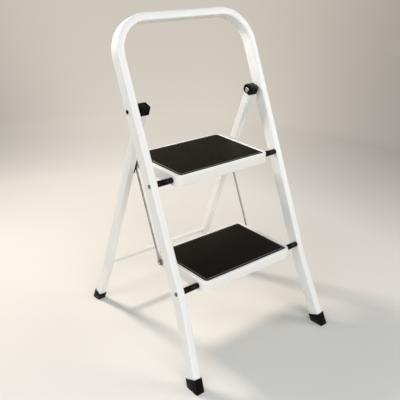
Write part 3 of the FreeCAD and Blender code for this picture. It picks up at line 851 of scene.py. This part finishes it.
@dataclass
class SplayedFrame:
    """Bent tubes in one plane, whose leg ends splay outwards into moulded feet."""

    stance: Stance
    finishes: Finishes
    tubes: BentTube
    pairs: SidePairs
    tube_width: float = 20.0 * MM
    tube_depth: float = 32.0 * MM
    tube_corner: float = 4.0 * MM
    bend_along: float = 190.0 * MM
    bend_round: float = 100.0 * MM
    splay: float = math.radians(5.0)
    tube_end: float = 16.0 * MM
    foot_height: float = 28.3 * MM

    def right_leg(self, leg_x: float, top: float, top_round: float) -> list[Triple]:
        """Give the right leg's corners from the foot upwards.

        Args:
            leg_x: Distance of the straight leg from the middle.
            top: Place of the last corner along the leg.
            top_round: Bend radius at the last corner.

        Returns:
            Distance from the middle, place along the leg and bend radius of each corner.
        """
        toe_x = leg_x + (self.bend_along - self.tube_end) * math.tan(self.splay)
        bend = (leg_x, self.bend_along, self.bend_round)
        return [(toe_x, self.tube_end, 0.0), bend, (leg_x, top, top_round)]

    def sweep(self, name: str, plane: Matrix, lines: Sequence[Sequence[Triple]]) -> Piece:
        """Sweep the frame's tube along lines in its plane.

        Args:
            name: Name of the piece.
            plane: Place of the legs' plane.
            lines: Corners of each tube, as right_leg gives them.

        Returns:
            The tubes as one object.
        """
        paths = [[(plane @ Vector((x, 0, up)), bend) for x, up, bend in line] for line in lines]
        size = (self.tube_width, self.tube_depth, self.tube_corner)
        return self.tubes.sweep(name, paths, size, plane.col[1].xyz)

    def feet(self, name: str, plane: Matrix, toe_x: float) -> Piece:
        """Build the right and the left foot.

        Args:
            name: Name of the piece.
            plane: Place of the legs' plane, on the floor.
            toe_x: Distance of the soles from the stool's middle.

        Returns:
            Both feet as one object.
        """
        foot = TubeFoot(self.tube_width, self.tube_depth, self.foot_height)
        parts = []
        for side in Side:
            shift = Matrix.Translation((side.value * toe_x, 0, 0))
            lean = Matrix.Rotation(-side.value * self.splay, 4, "Y")
            parts.append(foot.build(f"{name}_{side.word}", plane @ shift @ lean))
        return merged(name, parts)


@dataclass
class HandrailFrame(SplayedFrame):
    """The bent handrail tube with its front feet, step bars and hinge hardware.

    Sections are in mm: a bar's end as distance from the end and radius, a spacer's waist as distance
    from its inner end and inset, its tail as distance from its outer end and inset.
    """

    rail_along: float = 880.0 * MM
    rail_round: float = 88.0 * MM
    bar_radius: float = 5.0 * MM
    bar_end: tuple[Span, ...] = (
        (3.0, 5.0), (2.0, 5.3), (1.8, 5.5), (1.4, 5.5), (0.7, 5.1), (0.2, 4.5), (0.0, 3.9), (0.2, 3.4),
        (0.9, 3.1), (1.7, 2.9),
    )
    spacer_bore: float = 5.2 * MM
    spacer_edge: float = 2.4 * MM
    spacer_edge_steps: int = 6
    spacer_waist: tuple[Span, ...] = ((3.4, 0.0), (3.8, 0.5), (5.2, 0.5), (5.6, 0.1))
    spacer_tail: tuple[Span, ...] = ((0.5, 0.1), (0.0, 0.6))
    rivet_head: float = 2.6 * MM
    rivet_rim: float = 0.7 * MM
    rivet_shank: float = 4.0 * MM
    plug_rim: float = 0.5 * MM

    @property
    def leg_x(self) -> float:
        """Distance of the legs' centre lines from the middle."""
        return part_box("hinge_plug_right")[0].x - self.tube_width / 2

    def build(self) -> None:
        """Build every piece of the front frame."""
        self.build_tube()
        self.build_feet()
        self.build_bars()
        self.build_spacers()
        self.build_hinge_heads()

    def build_tube(self) -> None:
        """Sweep the tube from the right foot over the handrail to the left foot."""
        right = self.right_leg(self.leg_x, self.rail_along, self.rail_round)
        left = [(-x, up, bend) for x, up, bend in reversed(right)]
        tube = self.sweep("handrail_tube", self.stance.front_plane(), [right + left])
        dress(tube, self.finishes.coat, Body.FRONT, ["handrail_frame"])

    def build_feet(self) -> None:
        """Build both front feet on the splayed tube ends."""
        feet = self.feet("front_feet", self.stance.front_plane(), self.stance.front_toe.x)
        dress(feet, self.finishes.plastic, Body.FRONT, both("front_foot"), Crease.MOULDED)

    def build_bars(self) -> None:
        """Build the two step bars with their riveted ends."""
        for level in Level:
            node = f"{level.value}_step_bar"
            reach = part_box(node)[1].x
            half = [(0.0, self.bar_radius)]
            half += [(reach - back * MM, radius * MM) for back, radius in self.bar_end]
            bar = lathe(f"{level.value}_bar", mirrored(half), across(self.stance.bars[level]))
            dress(bar, self.finishes.wire, Body.FRONT, [node])

    def build_spacers(self) -> None:
        """Build the four sleeves that keep the steps between the legs."""
        spacers = [f"{level.value}_spacer" for level in Level]
        low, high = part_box("upper_spacer_right")
        length, radius = high.x - low.x, (high.z - low.z) / 2
        profile = [(0.0, self.spacer_bore), (0.0, radius - self.spacer_edge)]
        edge = round_edge(self.spacer_edge, self.spacer_edge_steps)
        profile += [(drop, radius - inset) for inset, drop in edge]
        profile += [(along * MM, radius - inset * MM) for along, inset in self.spacer_waist]
        profile += [(length - back * MM, radius - inset * MM) for back, inset in self.spacer_tail]
        profile.append((length, self.spacer_bore))
        points = [point for spacer in spacers for point in inner_ends(spacer)]
        sleeves = self.pairs.repeat("bar_spacers", profile, points, endless=True)
        nodes = [node for spacer in spacers for node in both(spacer)]
        dress(sleeves, self.finishes.plastic, Body.FRONT, nodes, Crease.MOULDED)

    def build_hinge_heads(self) -> None:
        """Build the hinge rivets' bright heads and the dark plugs on the legs' outer sides."""
        profile = rivet("hinge_rivet_right", self.rivet_head, self.rivet_rim, self.rivet_shank)
        rivets = self.pairs.repeat("hinge_rivets", profile, inner_ends("hinge_rivet"))
        dress(rivets, self.finishes.steel, Body.FRONT, both("hinge_rivet"))
        low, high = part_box("hinge_plug_right")
        profile = dome(high.x - low.x, (high.z - low.z) / 2, self.plug_rim)
        plugs = self.pairs.repeat("hinge_plugs", profile, inner_ends("hinge_plug"))
        dress(plugs, self.finishes.plastic, Body.FRONT, both("hinge_plug"))


@dataclass
class RearFrame(SplayedFrame):
    """The rear legs with their cross tube, caps, feet and axle saddles.

    Sections are in mm: the weld bead as distance from the tube's end and swelling, the caps' groove as
    distance from its start and depth.
    """

    tube_depth: float = 22.0 * MM
    tube_corner: float = 3.0 * MM
    bend_along: float = 118.0 * MM
    splay: float = math.radians(3.8)
    foot_height: float = 24.3 * MM
    tube_head: float = 8.0 * MM
    weld_bead: tuple[Span, ...] = ((4.0, 0.0), (3.0, 0.4), (2.2, 1.1), (1.4, 2.0), (0.6, 2.4), (0.0, 2.2))
    cross_tube_sides: int = 56
    cap_front: float = 14.0 * MM
    cap_back: float = 14.0 * MM
    cap_above: float = 13.0 * MM
    cap_below: float = 10.5 * MM
    cap_front_cut: float = 1.5 * MM
    cap_back_cut: float = 6.0 * MM
    cap_wall: float = 3.0 * MM
    cap_edge: float = 0.8 * MM
    cap_corner: float = 0.6 * MM
    cap_groove: float = 4.2 * MM
    groove_section: tuple[Span, ...] = ((0.0, 0.0), (0.4, 1.0), (1.6, 1.0), (2.0, 0.0))
    boss_radius: float = 9.5 * MM
    seat_radius: float = 4.3 * MM
    seat_steps: int = 12
    saddle_wall: float = 6.0 * MM
    saddle_base: float = 20.0 * MM
    saddle_rise: float = 7.0 * MM
    saddle_lead: float = 4.0 * MM
    saddle_edge: float = 0.8 * MM
    saddle_bottom_round: float = 2.5 * MM
    saddle_top_round: float = 2.0 * MM
    mouth_round: float = 1.2 * MM
    mouth_turn: float = math.radians(50.0)
    mouth_flare: float = math.radians(14.0)
    rivet_head: float = 1.2 * MM
    rivet_rim: float = 0.3 * MM
    rivet_shank: float = 2.5 * MM

    @property
    def leg_x(self) -> float:
        """Distance of the legs' centre lines from the middle."""
        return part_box("saddle_right")[1].x + self.tube_width / 2

    def build(self) -> None:
        """Build every piece of the rear frame."""
        self.build_legs()
        self.build_cross_tube()
        self.build_feet()
        self.build_caps()
        self.build_saddles()
        self.build_saddle_rivets()

    def build_legs(self) -> None:
        """Sweep both legs from their feet to their caps."""
        right = self.right_leg(self.leg_x, self.stance.rear_length + self.tube_head, 0.0)
        left = [(-x, up, bend) for x, up, bend in right]
        legs = self.sweep("rear_leg_tubes", self.stance.rear_plane(), [right, left])
        dress(legs, self.finishes.coat, Body.REAR, both("rear_leg"))

    def build_cross_tube(self) -> None:
        """Turn the cross tube with a weld bead at each end."""
        node = "rear_cross_tube"
        low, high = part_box(node)
        radius = (high.z - low.z) / 2
        half = [(0.0, radius)]
        half += [(high.x - back * MM, radius + swell * MM) for back, swell in self.weld_bead]
        tube = lathe("cross_tube", mirrored(half), across(middle(node)), segments=self.cross_tube_sides)
        dress(tube, self.finishes.coat, Body.REAR, [node])

    def build_feet(self) -> None:
        """Build both rear feet on the splayed tube ends."""
        feet = self.feet("rear_feet", self.stance.rear_plane(), self.stance.rear_toe.x)
        dress(feet, self.finishes.plastic, Body.REAR, both("rear_foot"), Crease.MOULDED)

    def build_caps(self) -> None:
        """Loft both caps with a groove behind the inner end, and turn their bosses."""
        low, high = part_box("rear_cap_right")
        shoulder = self.leg_x + self.tube_width / 2 + self.cap_wall
        edge = round_edge(self.cap_edge)
        groove = low.x + self.cap_groove
        stations = [(low.x + drop, inset) for inset, drop in edge]
        stations += [(groove + along * MM, inset * MM) for along, inset in self.groove_section]
        stations += [(shoulder - drop, inset) for inset, drop in reversed(edge)]
        boss = [(shoulder - self.cap_wall, self.boss_radius)]
        boss += [(high.x - drop, self.boss_radius - inset) for inset, drop in reversed(edge)]
        axis = Vector((0, self.stance.hinge.y, self.stance.hinge.z))
        parts = []
        for side in Side:
            rings = [self.cap_ring(side.value * station, inset) for station, inset in stations]
            parts.append(loft(f"rear_cap_{side.word}_shell", rings))
            parts.append(lathe(f"rear_cap_{side.word}_boss", boss, across(axis, side)))
        caps = merged("rear_caps", parts)
        dress(caps, self.finishes.plastic, Body.REAR, both("rear_cap"), Crease.CRISP)

    def cap_ring(self, station: float, inset: float) -> Ring:
        """Give a cap's outline at one place along X.

        Args:
            station: Place along X.
            inset: How far the outline lies inside the cap's main outline.

        Returns:
            The ring's points.
        """
        front, back = inset - self.cap_front, self.cap_back - inset
        top = self.stance.rear_length + self.cap_above - inset
        bottom = self.stance.rear_length - self.cap_below + inset
        lost = inset * (2 - math.sqrt(2))
        front_cut, back_cut, soft = self.cap_front_cut - lost, self.cap_back_cut - lost, self.cap_corner
        corners = [
            (back, bottom + back_cut, soft), (back, top - back_cut, soft), (back - back_cut, top, soft),
            (front + front_cut, top, soft), (front, top - front_cut, soft), (front, bottom + front_cut, soft),
            (front + front_cut, bottom, soft), (back - back_cut, bottom, soft),
        ]
        plane = self.stance.rear_plane()
        return [plane @ Vector((station, behind, up)) for behind, up in soft_polygon(corners)]

    def build_saddles(self) -> None:
        """Build both saddles on the legs' inner sides."""
        low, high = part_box("saddle_right")
        outline = self.saddle_outline()
        plane = self.stance.rear_plane()
        parts = []
        for side in Side:
            rings = [
                [plane @ Vector((side.value * station, back, up)) for back, up in outline]
                for station in (low.x, high.x)
            ]
            parts.append(loft(f"saddle_{side.word}_shell", rings))
        saddles = merged("axle_saddles", parts)
        bevel(saddles, self.saddle_edge)
        dress(saddles, self.finishes.plastic, Body.REAR, both("saddle"), Crease.EASED)

    def saddle_outline(self) -> Outline:
        """Outline a saddle in the rear plane, with its slot open upwards and backwards.

        Returns:
            Points as distance behind the plane and height along the legs.
        """
        axle = self.stance.rear_plane().inverted() @ self.stance.axles[Level.UPPER]
        seat = Vector((axle.y, axle.z))
        reach = self.seat_radius + self.saddle_wall
        front = min(-self.saddle_lead, seat.x - reach)
        back = max(self.tube_depth / 2, seat.x + reach)
        bottom = seat.y - self.seat_radius - self.saddle_base
        top = seat.y + self.saddle_rise
        front_turn = self.mouth_turn - self.mouth_flare
        back_turn = self.mouth_turn + self.mouth_flare
        front_lip = seat + self.seat_radius * Vector((-math.cos(front_turn), math.sin(front_turn)))
        back_lip = seat + self.seat_radius * Vector((math.cos(back_turn), -math.sin(back_turn)))
        mouth_top = front_lip.x + (top - front_lip.y) * math.tan(front_turn)
        mouth_back = back_lip.y + (back - back_lip.x) / math.tan(back_turn)
        start = math.pi - front_turn
        end = math.tau - back_turn
        corners = [
            (front, bottom, self.saddle_bottom_round), (front, top, self.saddle_top_round),
            (mouth_top, top, self.mouth_round),
        ]
        for step in range(self.seat_steps + 1):
            turn = start + (end - start) * step / self.seat_steps
            place = seat + self.seat_radius * Vector((math.cos(turn), math.sin(turn)))
            corners.append((place.x, place.y, 0.0))
        corners += [(back, mouth_back, self.mouth_round), (back, bottom, self.saddle_bottom_round)]
        return soft_polygon(corners)

    def build_saddle_rivets(self) -> None:
        """Build the rivets that hold the saddles."""
        profile = rivet("saddle_rivet_right", self.rivet_head, self.rivet_rim, self.rivet_shank)
        rivets = self.pairs.repeat("saddle_rivets", profile, inner_ends("saddle_rivet"))
        dress(rivets, self.finishes.steel, Body.REAR, both("saddle_rivet"))


@dataclass
class Tread:
    """One step: its pressed pan, rubber mat, rear axle and axle clips.

    A clip's sections are in mm: its rim as distance outwards and inset, its hub as distance outwards and
    thickness round the bore.
    """

    level: Level
    stance: Stance
    finishes: Finishes
    pairs: SidePairs
    corner: float = 19.5 * MM
    least_corner: float = 0.5 * MM
    corner_steps: int = 10
    edge: float = 4.0 * MM
    edge_steps: int = 8
    sheet: float = 1.2 * MM
    floor: float = 4.0 * MM
    mat_corner: float = 7.0 * MM
    mat_gap: float = 0.3 * MM
    mat_edge: float = 0.4 * MM
    recess: float = 2.4 * MM
    recess_edge: float = 0.8 * MM
    hem: float = 6.0 * MM
    hem_edge: float = 0.6 * MM
    hem_gap: float = 0.1 * MM
    flange: float = 6.2 * MM
    field_rise: float = 1.2 * MM
    welt: float = 1.0 * MM
    welt_sides: int = 12
    axle_edge: float = 0.8 * MM
    clip_bore: float = 3.9 * MM
    clip_rim: tuple[Span, ...] = ((0.0, 0.4), (0.2, 0.0), (0.8, 0.0), (1.0, 0.3))
    clip_hub: tuple[Span, ...] = ((0.9, 1.6), (1.5, 0.4), (1.5, 0.0), (0.9, 0.0), (0.0, 1.2))

    @property
    def body(self) -> Body:
        """The moving body of this step."""
        return STEP_BODY[self.level]

    def named(self, ending: str) -> str:
        """Give a name that begins with this step's level."""
        return f"{self.level.value}_{ending}"

    def build(self) -> None:
        """Build every piece of the step."""
        self.build_pan()
        self.build_mat()
        self.build_axle()
        self.build_clips()

    def build_pan(self) -> None:
        """Loft the pan from the recess over the rolled edge and the hemmed skirt to its underside."""
        node = self.named("step_pan")
        low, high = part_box(node)
        mat_low, mat_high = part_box(self.named("step_mat"))
        gap = Vector((self.mat_gap, self.mat_gap, 0))
        recess = (mat_low - gap, Vector((mat_high.x, mat_high.y, high.z)) + gap)
        soft = self.recess_edge
        section = [(soft, -self.recess, self.mat_corner - soft), (0.0, soft - self.recess, self.mat_corner)]
        section += [(-inset, -drop, self.mat_corner + inset) for inset, drop in reversed(round_edge(soft))]
        rings = self.rings(section, *recess) + self.rings(self.skirt(high.z - low.z), low, high)
        pan = loft(self.named("pan"), rings)
        dress(pan, self.finishes.coat, self.body, [node], Crease.EASED)

    def skirt(self, height: float) -> list[Triple]:
        """Follow the sheet from the rolled top edge down the skirt, round its hem and back up inside.

        Args:
            height: Height of the pan.

        Returns:
            Inset, height below the top and corner radius of each ring.
        """
        sheet, fold = self.sheet, self.hem_edge
        inner, hem_top = 2 * sheet, self.hem - height
        line = [(inset, -drop) for inset, drop in round_edge(self.edge, self.edge_steps)]
        line += [(inset, drop - height) for inset, drop in reversed(round_edge(fold))]
        line += [(inner - inset, drop - height) for inset, drop in round_edge(fold)]
        line += [(inner, hem_top - fold), (inner - fold / 2, hem_top), (sheet, hem_top + self.hem_gap)]
        bend = round_edge(self.edge - sheet)
        line += [(sheet + inset, -self.floor - drop) for inset, drop in reversed(bend)]
        return self.cornered(line, self.corner)

    def rings(self, section: Sequence[Triple], low: Vector, high: Vector) -> list[Ring]:
        """Lay rounded rectangles inside a box.

        Args:
            section: Inset from the box, height above its top and corner radius of each ring.
            low: Lowest corner of the box.
            high: Highest corner of the box.

        Returns:
            The rings, one for each row of the section.
        """
        centre, size = (low + high) / 2, high - low
        found = []
        for inset, height, corner in section:
            radius = max(corner, self.least_corner)
            outline = rounded_rectangle(size.x - 2 * inset, size.y - 2 * inset, radius, self.corner_steps)
            found.append([Vector((centre.x + x, centre.y + y, high.z + height)) for x, y in outline])
        return found

    def cornered(self, line: Outline, corner: float) -> list[Triple]:
        """Add to each inset and height the corner radius that keeps its distance from the edge."""
        return [(inset, height, corner - inset) for inset, height in line]

    def build_mat(self) -> None:
        """Loft the mat, a low flange round a raised field, and the welt between them, a real bead whose pale
        colour is a painted highlight line.
        """
        node = self.named("step_mat")
        low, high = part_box(node)
        corner = self.mat_corner - self.mat_gap
        edge = round_edge(self.mat_edge)
        line = [(0.0, low.z - high.z)]
        line += [(inset, -self.field_rise - drop) for inset, drop in reversed(edge)]
        line.append((self.flange, -self.field_rise))
        line += [(self.flange + inset, -drop) for inset, drop in reversed(edge)]
        mat = loft(self.named("mat"), self.rings(self.cornered(line, corner), low, high))
        dress(mat, self.finishes.rubber, self.body, [node], Crease.SOFT)
        bead = [
            (self.flange + self.welt * math.cos(angle), self.welt * (math.sin(angle) - 1.0))
            for angle in turns(self.welt_sides)
        ]
        rings = self.rings(self.cornered(bead, corner), low, high)
        welt = loft(self.named("welt"), rings, endless=True)
        # Pale welt finish: a painted highlight line along the bead
        dress(welt, self.finishes.welt, self.body, [], Crease.SOFT)

    def build_axle(self) -> None:
        """Turn the step's rear axle with chamfered ends."""
        node = self.named("step_axle")
        low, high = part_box(node)
        radius, edge = (high.z - low.z) / 2, self.axle_edge
        half = [(0.0, radius), (high.x - edge, radius), (high.x, radius - edge)]
        axle = lathe(self.named("axle"), mirrored(half), across(self.stance.axles[self.level]))
        dress(axle, self.finishes.steel, self.body, [node])

    def build_clips(self) -> None:
        """Build the two push-on clips that keep the rods on the axle."""
        node = self.named("axle_clips")
        low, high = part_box(node)
        radius = (high.z - low.z) / 2
        profile = [(out * MM, radius - inset * MM) for out, inset in self.clip_rim]
        profile += [(out * MM, self.clip_bore + wall * MM) for out, wall in self.clip_hub]
        inner = high.x - max(out for out, _ in profile)
        centre = self.stance.axles[self.level]
        points = [Vector((side.value * inner, centre.y, centre.z)) for side in Side]
        clips = self.pairs.repeat(self.named("clips"), profile, points, endless=True)
        dress(clips, self.finishes.wire, self.body, [node])


@dataclass
class LinkRod:
    """A wire between the two axles, flattened into an eye at each end.

    The stem starts inside the eye's wall, and its stations count flat lengths from there.
    """

    side: Side
    stance: Stance
    finishes: Finishes
    wire: float = 5.0 * MM
    wire_sides: int = 24
    eye_bore: float = 8.1 * MM
    eye_wall: float = 4.2 * MM
    eye_thickness: float = 4.0 * MM
    eye_corner: float = 1.2 * MM
    eye_corner_steps: int = 4
    flat_width: float = 8.0 * MM
    flat_thickness: float = 3.2 * MM
    flat_length: float = 9.0 * MM
    flat_stations: tuple[float, ...] = (0.0, 0.5, 1.0, 2.0)
    sunk_share: float = 0.6
    offset: float = 2.8 * MM

    def build(self) -> None:
        """Build the wire and its eyes as one piece."""
        node = f"link_rod_{self.side.word}"
        station = middle(node).x
        axles = [self.stance.axles[level] for level in (Level.LOWER, Level.UPPER)]
        eyes = [Vector((station, axle.y, axle.z)) for axle in axles]
        parts = [self.eye(f"{node}_eye", centre) for centre in eyes]
        parts.append(self.stem(f"{node}_stem", *eyes))
        rod = merged(f"link_wire_{self.side.word}", parts)
        dress(rod, self.finishes.wire, ROD_BODY[self.side], [node], Crease.EASED)

    def eye(self, name: str, centre: Vector) -> Piece:
        """Turn one eye about its axle.

        Args:
            name: Name of the shell.
            centre: Middle of the eye.

        Returns:
            The new object.
        """
        middle_radius = (self.eye_bore + self.eye_wall) / 2
        ring = rounded_rectangle(self.eye_thickness, self.eye_wall, self.eye_corner, self.eye_corner_steps)
        profile = [(along, middle_radius + out) for along, out in ring]
        return lathe(name, profile, across(centre), endless=True)

    def stem(self, name: str, low: Vector, high: Vector) -> Piece:
        """Loft the wire between the eyes, round in the middle and flat at its ends.

        Args:
            name: Name of the shell.
            low: Middle of the lower eye.
            high: Middle of the upper eye.

        Returns:
            The new object.
        """
        sideways = Vector((1, 0, 0))
        along = (high - low).normalized()
        back = along.cross(sideways)
        length = (high - low).length
        start = self.eye_bore / 2 + self.eye_wall * self.sunk_share
        stations = [start + self.flat_length * share for share in self.flat_stations]
        stations += [length - station for station in reversed(stations)]
        rings = []
        for station in stations:
            near = min(station, length - station) - start
            share = min(max(near / (2 * self.flat_length), 0.0), 1.0)
            ease = share * share * (3 - 2 * share)
            broad = back * (self.flat_width + (self.wire - self.flat_width) * ease) / 2
            thick = sideways * (self.flat_thickness + (self.wire - self.flat_thickness) * ease) / 2
            centre = low + along * station + back * self.offset
            rings.append([
                centre + thick * math.cos(angle) + broad * math.sin(angle) for angle in turns(self.wire_sides)
            ])
        return loft(name, rings)


@dataclass(frozen=True)
class Lamp:
    """A square soft light: where it stands, its side in metres, its watts and its colour."""

    name: str
    place: Triple
    size: float
    power: float
    colour: Colour


@dataclass
class Studio:
    """Pale floor, soft lights and the camera, whose angles are in radians.

    The backdrop glow is a painted glow in the backdrop's tone, emitted by the floor and seen only in the
    picture and in gloss. It sets in over a span of distances, and fades to the
    sides: haze_fade maps how far a direction leans across to the share of the glow that is left there.
    """

    eye: Vector = Vector((-1.03305, -1.12464, 1.02349))
    yaw: float = -0.73033
    pitch: float = -0.41725
    roll: float = 0.04196
    lens: float = 57.359
    sensor: float = 36.0
    floor_radius: float = 14.0
    floor_sides: int = 96
    floor_roughness: float = 0.9
    floor_specular: float = 0.1
    target: Vector = Vector((0.0, 0.0, 0.35))
    lamps: tuple[Lamp, ...] = (
        Lamp("key_lamp", (-0.33, 0.86, 1.25), 0.20, 14.7, (1.0, 0.885, 0.785)),
        Lamp("left_fill", (-3.2, -2.6, 1.6), 1.75, 30.5, (1.0, 0.97, 0.88)),
        Lamp("side_fill", (-3.5, 0.0, 1.6), 1.75, 23.5, (1.0, 0.965, 0.91)),
        Lamp("front_fill", (-1.3, -3.8, 2.3), 2.9, 104.0, (0.95, 0.965, 1.0)),
        Lamp("high_fill", (-1.6, -0.2, 2.4), 1.0, 10.0, (0.55, 0.77, 1.0)),
        Lamp("right_fill", (2.75, -2.3, 1.9), 1.75, 52.0, (1.0, 0.985, 0.96)),
    )
    sky: Colour = (1.0, 0.97, 0.90)
    sky_strength: float = 0.15
    backdrop_strength: float = 0.35
    paper: Colour = (0.74, 0.727, 0.692)
    # Painted shade: the floor's dark colour far from the stool stands in for the lamps' falloff
    far_paper: Colour = (0.30, 0.29, 0.275)
    # Painted pool of light: distances from this centre over which the paper darkens to the painted shade
    pool: Span = (1.05, 1.95)
    pool_centre: Triple = (-0.25, 0.15, 0.0)
    # Painted glow: the floor emits the backdrop's tone, seen only in the picture and in gloss
    haze: Span = (0.45, 1.90)
    haze_centre: Triple = (0.0, 0.0, 0.0)
    haze_across: Triple = (0.82, -0.57, 0.0)
    haze_fade: tuple[Span, Span] = ((0.1, 0.75), (1.0, 0.3))
    far_haze: Span = (2.0, 4.5)
    far_share: float = 0.6
    haze_tone: Colour = (0.555, 0.508, 0.445)

    def build(self) -> None:
        """Build the floor, the lights, the world and the camera."""
        bpy.context.scene.view_settings.view_transform = "Standard"
        self.build_floor()
        self.build_world()
        for lamp in self.lamps:
            self.area(lamp)
        self.build_camera()

    def build_floor(self) -> None:
        """Build the round floor, with a painted pool of light round the stool and painted shade far away."""
        angles = turns(self.floor_sides)
        points = [self.floor_radius * Vector((math.cos(angle), math.sin(angle), 0.0)) for angle in angles]
        floor = new_mesh("floor", points, [tuple(range(self.floor_sides))])
        floor.data.materials.append(self.floor_material())

    def floor_material(self) -> bpy.types.Material:
        """Build the floor: paper painted bright near the stool and dark far away, a painted pool of light and
        its falloff, and a painted glow in a pale backdrop's tone where the lamps no longer reach.

        Returns:
            The floor material.
        """
        material = bpy.data.materials.new("paper_floor")
        material.use_nodes = True
        graph = NodeGraph(material.node_tree)
        where = graph.add("ShaderNodeTexCoord").outputs["Object"]
        # Painted pool of light: share of the painted shade by distance from the pool's centre
        pool = self.falloff(graph, where, self.pool_centre, self.pool)
        # Painted glow in the backdrop's tone, by distance from the stool and fading to the sides
        reach = self.falloff(graph, where, self.haze_centre, self.haze)
        toward = graph.add("ShaderNodeVectorMath", {0: where}, operation="NORMALIZE").outputs["Vector"]
        sides = {0: toward, 1: self.haze_across}
        aside = graph.add("ShaderNodeVectorMath", sides, operation="DOT_PRODUCT").outputs["Value"]
        aside = graph.calculate("ABSOLUTE", aside)
        fade = graph.ramp(aside, *self.haze_fade, interpolation_type="SMOOTHSTEP")
        far = self.falloff(graph, where, self.haze_centre, self.far_haze, self.far_share)
        haze = graph.calculate("MULTIPLY", reach, graph.calculate("MAXIMUM", fade, far))
        graph.fill(graph.tree.nodes["Principled BSDF"], {
            "Base Color": graph.mix(pool, self.paper, self.far_paper),
            "Emission Strength": graph.calculate("MULTIPLY", haze, self.seen(graph)),
            "Emission Color": (*self.haze_tone, 1.0),
            "Roughness": self.floor_roughness,
            "Specular IOR Level": self.floor_specular,
        })
        return material

    def falloff(
        self, graph: NodeGraph, where: Socket, centre: Triple, span: Span, most: float = 1.0
    ) -> Socket:
        """Grade the floor by distance from a point.

        Args:
            graph: Node tree of the material.
            where: Coordinates on the floor.
            centre: The point.
            span: Distances at which the share starts from 0 and is full.
            most: The full share.

        Returns:
            The share at each place.
        """
        away = {0: where, 1: centre}
        distance = graph.add("ShaderNodeVectorMath", away, operation="DISTANCE").outputs["Value"]
        return graph.ramp(distance, span, (0.0, most))

    def seen(self, graph: NodeGraph) -> Socket:
        """Tell the rays that show the background, in the picture or in gloss, from those that light things.

        Args:
            graph: Node tree of the floor or the world.

        Returns:
            A share that is 1 for camera, glossy and transmission rays.
        """
        path = graph.add("ShaderNodeLightPath").outputs
        seen = graph.calculate("MAXIMUM", path["Is Camera Ray"], path["Is Glossy Ray"])
        return graph.calculate("MAXIMUM", seen, path["Is Transmission Ray"])

    def build_world(self) -> None:
        """Set a faint even light from all round, behind a pale backdrop."""
        world = bpy.data.worlds.new("studio_world")
        world.use_nodes = True
        graph = NodeGraph(world.node_tree)
        strengths = (self.sky_strength, self.backdrop_strength)
        graph.fill(graph.tree.nodes["Background"], {
            "Color": (*self.sky, 1.0), "Strength": graph.ramp(self.seen(graph), (0.0, 1.0), strengths),
        })
        bpy.context.scene.world = world

    def area(self, lamp: Lamp) -> None:
        """Add a square soft light that faces the stool and stays out of the picture.

        Args:
            lamp: The light to add.
        """
        light = bpy.data.lights.new(lamp.name, "AREA")
        light.size = lamp.size
        light.energy = lamp.power
        light.color = lamp.colour
        stand = add_object(lamp.name, light)
        stand.location = lamp.place
        stand.rotation_euler = (self.target - Vector(lamp.place)).to_track_quat("-Z", "Y").to_euler()
        stand.visible_camera = False

    def build_camera(self) -> None:
        """Set the camera at the photographed angle."""
        camera = bpy.data.cameras.new("camera")
        camera.lens = self.lens
        camera.sensor_width = self.sensor
        forward = Vector((
            -math.sin(self.yaw) * math.cos(self.pitch), math.cos(self.yaw) * math.cos(self.pitch),
            math.sin(self.pitch),
        ))
        right = forward.cross(Vector((0, 0, 1))).normalized()
        up = right.cross(forward)
        turned_right = math.cos(self.roll) * right + math.sin(self.roll) * up
        turned_up = math.cos(self.roll) * up - math.sin(self.roll) * right
        stand = add_object("camera", camera)
        turn = Matrix((turned_right, turned_up, -forward)).transposed().to_4x4()
        stand.matrix_world = Matrix.Translation(self.eye) @ turn
        bpy.context.scene.camera = stand


def main() -> None:
    """Build the stool's sub-assemblies and the studio round them."""
    logging.basicConfig(level=logging.INFO, format="%(name)s: %(message)s")
    stance = Stance.read(frame["record"])
    finishes = Finishes(stance.front_tilt)
    tubes = BentTube()
    pairs = SidePairs()
    HandrailFrame(stance, finishes, tubes, pairs).build()
    RearFrame(stance, finishes, tubes, pairs).build()
    for level in Level:
        Tread(level, stance, finishes, pairs).build()
    for side in Side:
        LinkRod(side, stance, finishes).build()
    Studio().build()


if __name__ == "__main__":
    main()
